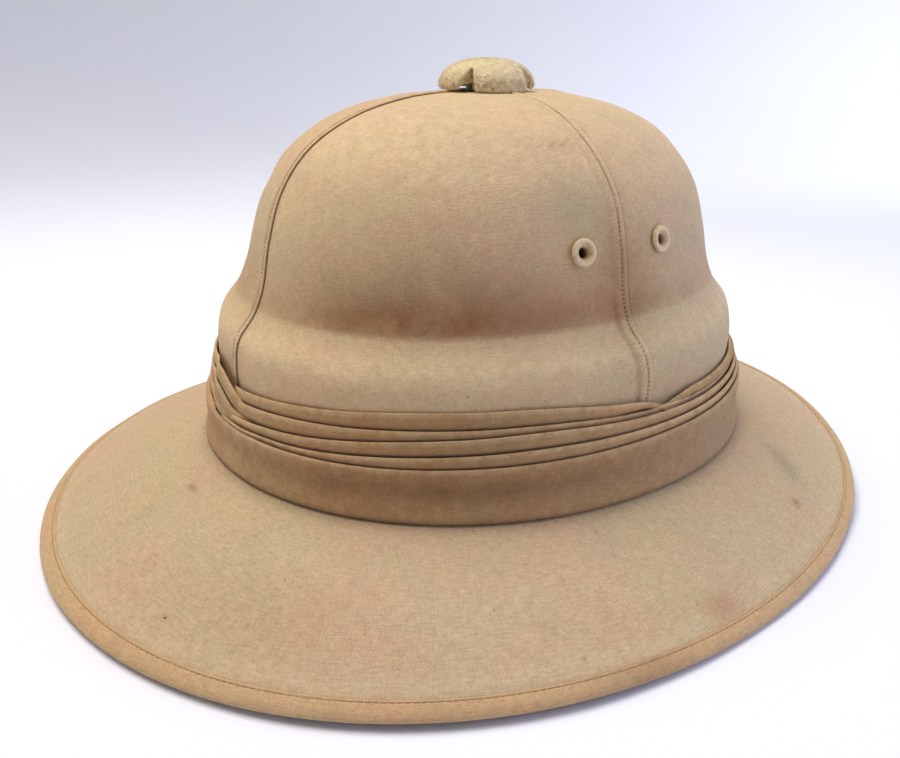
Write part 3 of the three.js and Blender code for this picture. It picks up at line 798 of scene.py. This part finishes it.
def brim_marks(turn, inward):
    """Dark specks, scuffs and smears on the brim, and painted shade towards its root, as bells of turn in degrees and
    mm from its edge.
    """
    t = np.degrees(turn)
    width = brim_width(turn)
    out = inward * width
    soil = 0.35 * bump(t, 18.1, 0.5) * bump(out, 16.0, 1.1) + 0.55 * bump(t, 1.2, 1.8) * bump(out, 56.5, 1.4)
    # A dark spot, then painted shade darkening the brim towards its root beside the puggaree.
    soil = soil + 0.7 * bump(t, 113.3, 1.0) * bump(out, 20.5, 2.0) + 0.30 * smoothstep(inward, 0.9, 1.03)
    grey = 0.7 * bump(t - 0.35 * (out - 34), 124, 3.0) * bump(out, 30, 9.0)
    grey = grey + 0.4 * bump(t, -4, 5) * bump(out, 38, 10)
    red = 0.55 * bump(t, 85, 3.2) * bump(out, 10.5, 5.0) + 0.2 * bump(t, 30, 14) * bump(out, 25, 14)
    worn = 0.4 * bump(out, 9, 3) + 0.25 * bump(t, 60, 30) * bump(out, 32, 12)
    return {"soil": soil, "red": red, "grey": grey, "worn": worn}


def brim_swell(turn, inward):
    """Slow hand-shaped unevenness of the brim's cloth, calm at the root."""
    around = turn * 140.0
    lift = relief(around, inward * 45, 0.22, SEED + 31, 26) * (1 - smoothstep(inward, 0.8, 1.0))
    return lift + ripple(turn, 0.35, SEED + 32) * (1 - inward)


def brim_cloth():
    """The brim's top cloth from under the hem to the crown's wall: the brim's face with a slow swell."""
    turn = np.linspace(0, 2 * np.pi, 480, endpoint=False)
    outer = hem_inward(BINDING_WIDTH - 0.9, turn)
    inner = brim_wall(turn, 0.5)
    rows = np.linspace(0, 1, 64)[:, None]
    inward = outer + rows * (inner - outer)
    around = turn + 0 * inward
    lift = brim_swell(around, inward) - 0.25 * (1 - smoothstep(inward - outer, 0.0, 0.03))
    points = raised(brim_face, around, inward, lift)
    closing = np.linspace(0, 2 * np.pi, 481)
    uv = np.stack([np.repeat((closing * 140.0)[None], 64, 0), np.repeat(rows * 48.0, 481, 1)], -1)
    marks = brim_marks(around, inward)
    piece = grid_piece("brim_cloth", points, brim_drill, "drill_cloth", uv, marks, close_columns=True)
    thicken(piece, CLOTH)
    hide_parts("brim_cover")
    return piece


HEM_STITCH = 5.95  # from the edge to the row of stitches where the hem is widest
HEM_OUTLINE = np.array(  # mm in from the edge, mm above the brim's face, once round the folded strip
    [
        (7.05, -0.40),
        (7.12, -0.05),
        (6.98, 0.20),
        (6.75, 0.30),
        (6.25, 0.27),
        (5.95, 0.12),
        (5.65, 0.28),
        (5.00, 0.36),
        (4.00, 0.38),
        (3.00, 0.36),
        (2.00, 0.24),
        (1.20, -0.02),
        (0.55, -0.42),
        (0.15, -0.95),
        (0.00, -1.60),
        (0.15, -2.30),
        (0.60, -2.95),
        (1.30, -3.40),
        (2.20, -3.65),
        (3.60, -3.85),
        (5.60, -4.15),
        (6.90, -4.35),
        (7.10, -4.10),
        (6.90, -3.85),
        (5.00, -3.60),
        (2.60, -3.30),
        (1.50, -2.60),
        (1.30, -1.80),
        (1.80, -1.10),
        (3.20, -0.70),
        (5.20, -0.55),
    ]
)


def hem_share(turn):
    """How wide the hem is at a turn, as a share of its full width, which it nears just left of the back."""
    t = np.degrees(turn)
    away = np.abs((t + 15 + 180) % 360 - 180)
    return 0.68 + 0.32 * bump(away, 0, 42) + 0.04 * ripple(turn, 1.0, SEED + 44, 4, 14)


def hem_inward(mm, turn):
    """The brim's share at mm in from the edge, once the part past 1.5 mm is scaled to the hem's width there."""
    return (np.minimum(mm, 1.5) + np.clip(mm - 1.5, 0, None) * hem_share(turn)) / brim_width(turn)


def hem_binding():
    """The hem: its smoothed outline carried round the brim's edge, wavering a little, flat where it meets the floor."""
    turn = np.linspace(0, 2 * np.pi, 600, endpoint=False)
    ring = np.vstack([HEM_OUTLINE, HEM_OUTLINE[:1]])
    outline = curve_through(np.column_stack([ring, 0 * ring[:, 0]]), np.linspace(0, 1, 96, endpoint=False))
    inward = hem_inward(outline[:, :1], turn)
    around = turn + 0 * inward
    waver = ripple(turn, 0.16, SEED + 40, 9, 24)
    lift = outline[:, 1:2] + brim_swell(around, inward) + waver
    points = raised(brim_face, around, inward, lift)
    points[..., 2] = np.maximum(points[..., 2], 0.0)
    closing = np.linspace(0, 2 * np.pi, 601)
    length = run_along(outline)
    length = np.append(length, length[-1] + 0.4)
    uv = np.stack([np.repeat((closing * 168.0)[None], 97, 0), np.repeat(length[:, None], 601, 1)], -1)
    t = np.degrees(around)
    top = outline[:, 1:2] + 0 * t
    stitched = bump(outline[:, :1] + 0 * t, HEM_STITCH, 0.25) * smoothstep(top, -1, 0)
    marks = {
        "soil": 0.22 * stitched + 0.35 * bump(t, 70, 6) * (top < 0.5),
        "worn": 0.55 * bump(top, -0.6, 0.9) * smoothstep(ripple(around, 1.0, SEED + 41, 5, 20), -0.6, 0.9),
        "red": 0.18 * smoothstep(ripple(around, 1.0, SEED + 42, 3, 12), 0.2, 1.2),
        "grey": 0.0 * t,
    }
    look = (hem_drill, "binding_cloth")
    piece = grid_piece("hem_binding", points, *look, uv, marks, close_rows=True, close_columns=True)
    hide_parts("edge_binding")
    return piece


def hem_stitches():
    """One row of small stitches in the hem's groove, all the way round."""
    draw = np.random.default_rng(SEED + 50)
    turn = np.linspace(0, 2 * np.pi, 2400)

    def line(t, lift):
        inward = hem_inward(HEM_STITCH, t)
        return raised(brim_face, t, inward, lift + brim_swell(t, inward) + ripple(t, 0.16, SEED + 40, 9, 24))

    shares = evenly(line(turn, 0.0), 2.25)
    t = shares * 2 * np.pi
    places, ahead = line(t, 0.14), line(t + 0.002, 0.14)
    outs = normals(brim_face, t, hem_inward(HEM_STITCH, t))
    ways = ahead - places + draw.normal(0, 0.015, places.shape)
    return stitches("hem_stitches", places, ways, outs, 1.6, 0.34, hem_thread, "binding_cloth")


brim = brim_cloth()
hem = hem_binding()
hem_row = hem_stitches()

# ---- puggaree ----


def pleat_top(column, turn):
    """The tabled top of the band (column 1) or of pleats 4 to 1 (columns 2 to 5), mirrored on the left and averaged
    over a few degrees."""
    degrees = np.degrees(turn)[..., None] + np.linspace(-6, 6, 7)
    folded = np.abs((degrees + 180) % 360 - 180)
    return np.interp(folded, PUGGAREE_TOPS[:, 0], PUGGAREE_TOPS[:, column]).mean(-1)


FACE_ROWS, FOLD_ROWS, BACK_ROWS, FOOT_ROWS = 16, 7, 5, 3
STRIP_ROWS = FACE_ROWS + FOLD_ROWS + BACK_ROWS + FOOT_ROWS


def strip_grid(turn, foot, top, below, outer, lean, thick, groove, flare=0.0):
    """The skin of a folded strip: up a full outer face, over a rounded fold, down a flat back and round its foot.
    outer and lean place the face off the crown's oval at foot and top. Just over the strip below, the face sinks by
    the groove, and a flare lets its foot spread and its middle fall in."""
    face, back = np.linspace(0, 1, FACE_ROWS), np.linspace(1, 0, BACK_ROWS)
    climb = np.concatenate([face, np.ones(FOLD_ROWS), back, np.zeros(FOOT_ROWS)])
    over = np.linspace(0, 1, FOLD_ROWS + 2)[1:-1]
    under = np.linspace(1, 0, FOOT_ROWS + 2)[1:-1]
    half_turns = np.concatenate([np.zeros(FACE_ROWS), over, np.ones(BACK_ROWS), under])[:, None]
    outside = (np.arange(STRIP_ROWS) < FACE_ROWS + FOLD_ROWS)[:, None]
    f = climb[:, None]
    rise = np.sin(np.pi * half_turns) * np.where(outside, thick / 2, -thick / 2)
    depth = (1 - np.cos(np.pi * half_turns)) * thick / 2
    height = foot + f * (top - foot) + rise + thick * (0.5 - f)
    full = 0.30 * np.sin(np.pi * f) * (np.arange(STRIP_ROWS)[:, None] < FACE_ROWS)
    sink = groove * (1 - smoothstep(height - below, -0.5, 1.7))
    spread = flare * (1.1 * (1 - smoothstep(f, 0.0, 0.42)) - 0.6 * bump(f, 0.55, 0.22))
    reach = outer - lean * f + full - depth - sink + spread
    x, y = oval_xy(turn, 112.2 + reach, 93.2 + reach, 2.08)
    return np.stack([x, y, height + 0 * x], -1), f + 0 * height, outside


def strip(name, turn, grid, climb, outside, marks, close):
    """A folded strip wound round the hat, a closed ring or a length with two capped ends."""
    count = len(turn)
    run = turn * 108.0
    closing = np.append(run, run[-1] + (run[1] - run[0])) if close else run
    length = np.linspace(0, STRIP_ROWS, STRIP_ROWS + 1)[:, None] * 0.8
    uv = np.stack([closing + 0 * length, length + 0 * closing], -1)
    values = marks(turn[None, :] + 0 * climb, climb, outside)
    values = {key: value + 0 * climb for key, value in values.items()}
    look = (puggaree_cotton, "puggaree_cloth")
    if close:
        return grid_piece(name, grid, *look, uv, values, close_rows=True, close_columns=True)
    points = np.vstack([grid.reshape(-1, 3), grid[:, 0].mean(0), grid[:, -1].mean(0)])
    values = {key: np.append(np.clip(value, 0, 1), [0.5, 0.5]) for key, value in values.items()}
    quads, (down, over) = grid_corners(STRIP_ROWS, count, close_rows=True)
    ring = np.arange(STRIP_ROWS) * count
    after = np.roll(ring, -1)
    middle = STRIP_ROWS * count
    first = np.stack([after, ring, 0 * ring + middle], -1)
    last = np.stack([ring + count - 1, after + count - 1, 0 * ring + middle + 1], -1)
    return make_piece(name, points, quads, *look, uv[down, over], values, ends=np.vstack([first, last]))


def pleat_marks(turn, climb, outside):
    """Strips darken low on their faces, into the groove over the strip below, and at the back right: painted shade.
    They pale along their folds, partly by wear and partly as a painted highlight.
    """
    worn = 0.9 * smoothstep(climb, 0.80, 0.97) * (outside > 0)
    soil = 0.32 * (1 - smoothstep(climb, 0.1, 0.7)) + 0.24 * bump(np.degrees(turn), 52, 30)
    red = 0.10 * smoothstep(ripple(turn, 1.0, SEED + 60, 3, 14), 0.3, 1.2)
    return {"worn": worn, "soil": soil, "red": red, "grey": 0 * turn}


def band_marks(turn, climb, outside):
    """The band pales along its fold, partly by wear and partly as a painted highlight, at the back as painted light,
    and a little at the wearer's right. Painted shade darkens it above its middle at the back right and at its foot
    against the brim.
    """
    t = np.degrees(turn)
    worn = 0.6 * smoothstep(climb, 0.93, 0.99) * (outside > 0)
    worn = worn + 0.2 * bump(t, 5, 14) + 0.12 * bump(t, 110, 20)
    soil = 0.50 * bump(t, 54, 34) * bump(climb, 0.62, 0.30) + 0.30 * (1 - smoothstep(climb, 0.0, 0.08)) + 0.10
    return {"worn": worn, "soil": soil, "red": 0.12 * bump(t, 70, 25), "grey": 0.25 * bump(t, 110, 18)}


def puggaree_band():
    """The plain band below the pleats, from the brim up to the first fold, a closed ring."""
    turn = np.linspace(0, 2 * np.pi, 480, endpoint=False)
    foot = brim_face(turn, 0 * turn + 1)[:, 2] + 0.5
    top = pleat_top(1, turn)
    outer = 7.7 + ripple(turn, 0.12, SEED + 61, 3, 18)
    grid, climb, outside = strip_grid(turn, foot, top, foot - 5, outer, 0.2, 1.5, 0.0, 1.0)
    piece = strip("puggaree_wrap", turn, grid, climb, outside, band_marks, True)
    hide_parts("puggaree_band")
    return piece


# Each pleat's tail, as it comes round from the left and drops across the back: turn past the back,
# then its top there, for pleats 4, 3, 2 and 1.
TAIL_TURNS = np.array([-40.0, -20.0, -10.0, -6.0, -3.0, 0.0, 2.5, 5.0, 8.0, 11.0])
TAIL_TOPS = {
    1: (65.2, 64.6, 66.0, 66.0, 65.0, 62.3, 59.8, 56.8, 53.4, 50.0),
    2: (59.6, 59.4, 60.6, 60.0, 58.2, 55.6, 53.6, 52.1, 50.8, 48.6),
    3: (55.6, 53.6, 53.6, 52.4, 50.9, 49.4, 47.6, 45.6, 43.6, 42.0),
    4: (50.6, 49.0, 48.0, 47.2, 46.6, 46.0, 45.4, 44.8, 44.2, 43.6),
}
PLEAT_START = {1: 1.0, 2: 1.6, 3: -5.0, 4: -1.0}
PLEAT_REACH = {1: 3.1, 2: 4.1, 3: 5.2, 4: 6.4}
PLEAT_LEAN = {1: 0.7, 2: 0.3, 3: 0.2, 4: 0.1}


def pleat(number):
    """A pleat of the puggaree: from under the tails at the back it goes once round, and its own tail drops across
    the start. The top one kinks at each side, where it narrows and stands free of the next."""
    start, end = PLEAT_START[number], 368.5
    turn = np.radians(np.concatenate([np.arange(start, 318, 0.9), np.arange(318, end, 0.4)]))
    degrees = np.degrees(turn)
    column = 6 - number
    tail = smoothstep(degrees, 318, 342)
    top = pleat_top(column, turn)
    top = top * (1 - tail) + np.interp(degrees - 360, TAIL_TURNS, TAIL_TOPS[number]) * tail
    lower = pleat_top(column - 1, turn)
    lower_tail = np.interp(degrees - 360, TAIL_TURNS, TAIL_TOPS[number + 1]) if number < 4 else top - 4.0
    lower = lower * (1 - tail) + lower_tail * tail
    foot = lower - 2.6
    crossing = smoothstep(degrees, 349, 355)
    lean = PLEAT_LEAN[number] + 0 * degrees
    outer = PLEAT_REACH[number] + crossing * (1.9 if number < 3 else 0.9)
    outer = outer - 2.4 * smoothstep(degrees, 362, 369) + ripple(turn, 0.10, SEED + 70 + number, 3, 20)
    if number == 1:
        mirrored = np.minimum(degrees, 360 - degrees)
        free = smoothstep(degrees, 70, 89) * (1 - smoothstep(degrees, 271, 290))
        foot = foot * (1 - free) + (lower + 1.0 - 0.5 * smoothstep(mirrored, 97, 103)) * free
        lean = lean + 1.0 * free
        dip = bump(mirrored, 95.5, 3.6)
        outer = outer + 1.2 * free + 0.8 * dip
        top = top - 2.9 * dip + 1.0 * smoothstep(mirrored, 99, 106)
        foot = np.minimum(foot, top - 2.0)
    if number > 2:
        outer = outer + 0.9 * (1 - smoothstep(degrees, 6, 16)) * (degrees < 90)
    grid, climb, outside = strip_grid(turn, foot, top, lower, outer, lean, 1.1, 1.0)
    piece = strip(f"puggaree_pleat_{number}", turn, grid, climb, outside, pleat_marks, False)
    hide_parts(f"puggaree_fold_{number}")
    return piece


wrap = puggaree_band()
pleats = [pleat(k) for k in (4, 3, 2, 1)]

# ---- eyelets ----


def eyelet_places():
    """Middles and outward normals of the four eyelets, a set way to each side of the side seams."""
    section = curve_through(CROWN_SECTIONS, np.array([up_at(EYELET["height"])]))[0]
    away = np.arcsin(EYELET["from_seam"] / section[0])
    names = ("right_back", "right_front", "left_back", "left_front")
    turns = np.array([np.pi / 2 - away, np.pi / 2 + away, 1.5 * np.pi + away, 1.5 * np.pi - away])
    ups = up_at(EYELET["height"] + waist_fade(EYELET["height"]) * waist_slump(turns))
    return names, crown_face(turns, ups), normals(crown_face, turns, ups)


EYELET_OUTLINE = np.array(  # mm from the axis and above the cloth: barrel's foot, over the lip, down the hole
    [
        (3.10, -7.50),
        (3.10, -1.00),
        (3.15, -0.10),
        (4.55, -0.05),
        (4.80, 0.25),
        (4.88, 0.70),
        (4.78, 1.15),
        (4.48, 1.50),
        (4.00, 1.68),
        (3.40, 1.66),
        (2.85, 1.46),
        (2.35, 1.02),
        (1.95, 0.35),
        (1.78, -0.50),
        (1.75, -2.00),
        (1.75, -7.50),
    ]
)


def circle_round(out, count):
    """A unit circle of points round an outward direction."""
    spun = np.linspace(0, 2 * np.pi, count, endpoint=False)[:, None]
    side = np.cross(out, (0.0, 0.0, 1.0))
    side = side / np.linalg.norm(side)
    return np.cos(spun) * side + np.sin(spun) * np.cross(out, side)


def eyelet(name, middle, out):
    """A turned ring: its outline spun round the normal of the cloth."""
    circle = circle_round(out, 56)
    points = middle + EYELET_OUTLINE[:, :1, None] * circle + EYELET_OUTLINE[:, 1:2, None] * out
    depth = EYELET_OUTLINE[:, 1:2] + 0 * circle[:, 0]
    reach = EYELET_OUTLINE[:, :1] + 0 * circle[:, 0]
    # Painted shade down the bore and in a ring round the foot; paler on top of the lip.
    soil = 0.9 * (1 - smoothstep(depth, -1.2, 0.5)) * (reach < 2.6) + 0.45 * bump(reach, 4.9, 0.25) * (depth < 0.4)
    marks = {"soil": soil, "worn": bump(reach, 4.0, 0.6) * (depth > 1.2)}
    look = (enamel, "eyelet")
    piece = grid_piece(f"eyelet_ring_{name}", points, *look, None, marks, close_rows=True, close_columns=True)
    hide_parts(f"eyelet_{name}")
    return piece


HOLE_SIDES = 28


def bored(piece, places, outs, radius, reach):
    """Cuts round holes through a piece at the eyelets and keeps the result as its mesh."""
    for middle, out in zip(places, outs):
        ring = radius * circle_round(out, HOLE_SIDES)
        points = np.vstack([middle + ring - reach * out, middle + ring + reach * out])
        quads, _ = grid_corners(2, HOLE_SIDES, close_columns=True)
        ends = [list(range(HOLE_SIDES))[::-1], list(range(HOLE_SIDES, 2 * HOLE_SIDES))]
        faces = quads.tolist() + ends
        mesh = bpy.data.meshes.new("drill")
        mesh.from_pydata((points * MM).tolist(), [], faces)
        if shell_volume(points, quads) < 0:
            mesh.flip_normals()
        cutter = bpy.data.objects.new("drill", mesh)
        bpy.context.scene.collection.objects.link(cutter)
        hole = piece.modifiers.new("hole", "BOOLEAN")
        hole.operation = "DIFFERENCE"
        hole.solver = "EXACT"
        hole.object = cutter
        seen = bpy.context.evaluated_depsgraph_get()
        kept = bpy.data.meshes.new_from_object(piece.evaluated_get(seen))
        piece.modifiers.clear()
        piece.data = kept
        bpy.data.objects.remove(cutter)


enamel = eyelet_finish()
eyelet_names, eyelet_middles, eyelet_outs = eyelet_places()
for each in zip(eyelet_names, eyelet_middles, eyelet_outs):
    eyelet(*each)
for k, own in enumerate((0, 1, 3, 2)):
    bored(panels[k], eyelet_middles[own : own + 1], eyelet_outs[own : own + 1], EYELET["bored"], 4.0)
bored(pith, eyelet_middles, eyelet_outs, EYELET["bored"] + 0.05, 14.0)

# ---- cap ----


def felt_cap():
    """The cap: a dome whose side is cut into four lobes. Between lobes the ring is drawn in to a deep notch that
    opens towards the rim. Each lobe has rounded corners and its own lift, and the felt is matted all over."""
    turns, rows = 384, 120
    turn = np.linspace(0, 2 * np.pi, turns, endpoint=False)
    q = np.linspace(0, 1.32, rows)[:, None]
    beyond = np.clip(q - 1, 0, None)
    share = np.clip(q, 0, 1)
    lobe_turn = CAP["lobes"] * (turn - CAP["turned"]) / (2 * np.pi) + 0.5
    to_notch = np.minimum(lobe_turn % 1, 1 - lobe_turn % 1) * 90.0
    which = np.floor(lobe_turn).astype(int) % 4
    sit = np.array([0.1, -1.2, 0.1, 0.2])[which]
    curl = np.array([2.2, 0.7, 1.3, 1.6])[which]
    spread = np.array([0.6, 0.9, 0.2, 0.3])[which]
    opening = 7.0 * smoothstep(share, 0.50, 1.0) + 1.5 * smoothstep(share, 0.40, 0.6)
    valley = (1 - smoothstep(to_notch, 0.55 * opening, opening + 2.5)) * smoothstep(share, 0.50, 0.68)
    corner = (1 - smoothstep(to_notch, 6.0, 19.0)) * smoothstep(share, 0.7, 1.0)
    dome = share * np.pi / 2
    top = CAP["top"] - 1.7
    rim = CAP["rim"] - 0.9 + sit + curl * corner
    full = spread * smoothstep(share, 0.35, 0.8) * bump(to_notch, 45, 26)
    radius = (CAP["radius"] - 0.2) * np.sin(dome) ** 0.86
    height = rim + (top - rim) * np.cos(dome) ** 0.82
    radius = radius + full - 1.0 * smoothstep(share, 0.95, 1.0) ** 2 - 5.2 * valley
    radius = radius * (1 - 0.55 * smoothstep(beyond, 0, 0.32)) - 1.6 * smoothstep(beyond, 0, 0.05)
    height = height + 1.3 * smoothstep(beyond, 0, 0.06) + 5.5 * smoothstep(beyond, 0.05, 0.32)
    x, y = -radius * np.sin(turn), radius * np.cos(turn) + CROWN_CENTRE_Y
    points = np.stack([x, y, height + 0 * x], -1)
    arc = share * 24.0
    rough = relief(x, y + height * 1.3, 0.15, SEED + 80, 3.2, 40)
    rough = rough + relief(x, y - 1.1 * height, 0.09, SEED + 81, 1.1, 40)
    fuzz = np.random.default_rng(SEED + 82).normal(0, 0.05, x.shape)
    away = points - np.array([0, CROWN_CENTRE_Y, CAP["rim"] - 4.0])
    away = away / np.linalg.norm(away, axis=-1, keepdims=True)
    points = points + away * ((rough + fuzz) * smoothstep(arc, 0.2, 2.0))[..., None]
    points[0] = points[0].mean(0)
    points[-1] = points[-1].mean(0)
    t = np.degrees(turn)
    marks = {
        "soil": 0.9 * bump(share, 0.92, 0.16) + 0 * t,
        "worn": bump(share, 0.45, 0.25) * bump((t - 10 + 180) % 360 - 180, 0, 60),
    }
    look = (felt_finish(), "cap_felt")
    piece = grid_piece("cap_felt", points, *look, None, marks, close_columns=True, flip=True)
    merge_poles(piece)
    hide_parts("vent_cap")
    felt_nap(points[3:91], away[3:91], piece.data.materials[0])


NAP_FIBRES = 15000
NAP_HALF_WIDTH = 0.06


def felt_nap(points, away, material):
    """Loose fibres on the felt: slim three-sided spikes on seeded places, each leaning its own way."""
    draw = np.random.default_rng(SEED + 90)
    ring = draw.integers(0, points.shape[0], NAP_FIBRES * 2)
    keep = draw.random(NAP_FIBRES * 2) < (ring + 8) / (points.shape[0] + 8)
    ring = ring[keep][:NAP_FIBRES]
    column = draw.integers(0, points.shape[1], len(ring))
    root, out = points[ring, column], away[ring, column]
    way = out * draw.uniform(0.15, 0.7, (len(ring), 1)) + draw.normal(0, 0.6, root.shape)
    way = way / np.linalg.norm(way, axis=-1, keepdims=True)
    side = np.cross(way, draw.normal(0, 1, root.shape))
    side = side / np.linalg.norm(side, axis=-1, keepdims=True)
    over = np.cross(way, side)
    long = draw.uniform(0.5, 1.25, (len(ring), 1))
    thin = NAP_HALF_WIDTH
    base = root - 0.15 * out
    inner, wing = base - 0.5 * thin * side, 0.87 * thin * over
    spikes = np.stack([base + thin * side, inner + wing, inner - wing, base + long * way], 1)
    shape = np.array([(0, 2, 1), (0, 1, 3), (1, 2, 3), (2, 0, 3)])
    faces = (shape[None] + (np.arange(len(ring)) * 4)[:, None, None]).reshape(-1, 3)
    make_piece("cap_nap", spikes, faces, material, "cap_felt")


def merge_poles(piece):
    """Merges points that lie on each other and turns every face outwards."""
    work = bmesh.new()
    work.from_mesh(piece.data)
    bmesh.ops.remove_doubles(work, verts=work.verts, dist=1e-7)
    bmesh.ops.dissolve_degenerate(work, edges=work.edges, dist=1e-8)
    bmesh.ops.recalc_face_normals(work, faces=work.faces)
    work.to_mesh(piece.data)
    work.free()


felt_cap()
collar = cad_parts["vent_collar"]
for material_slot in collar.material_slots:
    material_slot.material = collar_finish()

# ---- floor, light and camera ----


def studio_finish(name, colour):
    f = Finish(name)
    cloud = f.noise(700, 2, 0.4)
    tone = f.blend(f.ramp(cloud, 0.3, 0.7), linear(colour), linear("#edf0f8"))
    return f.done(tone, 0.7)


def backdrop():
    """A shallow white bowl: a flat floor that curves up into a wall all the way round."""
    around = np.linspace(0, 2 * np.pi, 96, endpoint=False)
    floor_radius, bend, wall_height = 1000.0, 1300.0, 1900.0
    flat = np.linspace(0, floor_radius, 6)
    quarter = np.linspace(0, np.pi / 2, 14)[1:]
    reach = np.concatenate([flat, floor_radius + bend * np.sin(quarter), [floor_radius + bend]])
    height = np.concatenate([0 * flat, bend * (1 - np.cos(quarter)), [wall_height]])
    x, y = reach[:, None] * np.cos(around), reach[:, None] * np.sin(around)
    points = np.stack([x, y, height[:, None] + 0 * x], -1)
    faces, _ = grid_corners(len(reach), 96, close_columns=True)
    mesh = bpy.data.meshes.new("floor")
    mesh.from_pydata((points.reshape(-1, 3) * MM).tolist(), [], faces[:, ::-1].tolist())
    mesh.shade_smooth()
    mesh.materials.append(studio_finish("white paper", "#e9ecf7"))
    floor = bpy.data.objects.new("floor", mesh)
    bpy.context.scene.collection.objects.link(floor)
    merge_poles(floor)


def softbox(name, place, aim, size, power, colour):
    """A square area light, in metres and watts, that faces an aim point."""
    lamp = bpy.data.lights.new(name, "AREA")
    lamp.shape = "SQUARE"
    lamp.size = size
    lamp.energy = power
    lamp.color = linear(colour)[:3]
    light = bpy.data.objects.new(name, lamp)
    light.location = place
    light.rotation_euler = (Vector(aim) - Vector(place)).to_track_quat("-Z", "Y").to_euler()
    bpy.context.scene.collection.objects.link(light)


backdrop()
world = bpy.data.worlds.new("studio air")
world.use_nodes = True
world.node_tree.nodes["Background"].inputs["Color"].default_value = linear("#f4ebde")
world.node_tree.nodes["Background"].inputs["Strength"].default_value = 0.235
bpy.context.scene.world = world
softbox("overhead", (0.25, 0.12, 1.25), (0.0, 0.0, 0.05), 0.9, 16.5, "#fff9f0")
softbox("left window", (0.75, 0.95, 0.75), (0.0, 0.0, 0.06), 0.7, 2.0, "#fff8ec")
softbox("right window", (-0.75, -1.0, 0.55), (0.0, 0.0, 0.06), 0.9, 8.2, "#bfd1ff")
softbox("wall light", (0.02, -0.96, 0.9), (0.75, -1.86, 0.7), 0.5, 10.0, "#f6f7ff")
bpy.context.scene.view_settings.view_transform = "Standard"

CAMERA_PLACE = (-0.2750, 0.2057, 0.1756)
CAMERA_AIM = (-0.0057, 0.0129, 0.0428)
CAMERA_LENS = 33.42
CAMERA_ROLL = 0.21  # degrees


def place_camera():
    """A camera without lens blur, aimed from behind the wearer's right shoulder, with a slight roll."""
    lens = bpy.data.cameras.new("camera")
    lens.lens = CAMERA_LENS
    lens.sensor_width = 36.0
    lens.clip_start = 0.01
    camera = bpy.data.objects.new("camera", lens)
    facing = (Vector(CAMERA_AIM) - Vector(CAMERA_PLACE)).to_track_quat("-Z", "Y").to_matrix().to_4x4()
    rolled = Matrix.Rotation(np.radians(CAMERA_ROLL), 4, "Z")
    camera.matrix_world = Matrix.Translation(CAMERA_PLACE) @ facing @ rolled
    bpy.context.scene.collection.objects.link(camera)
    bpy.context.scene.camera = camera


place_camera()
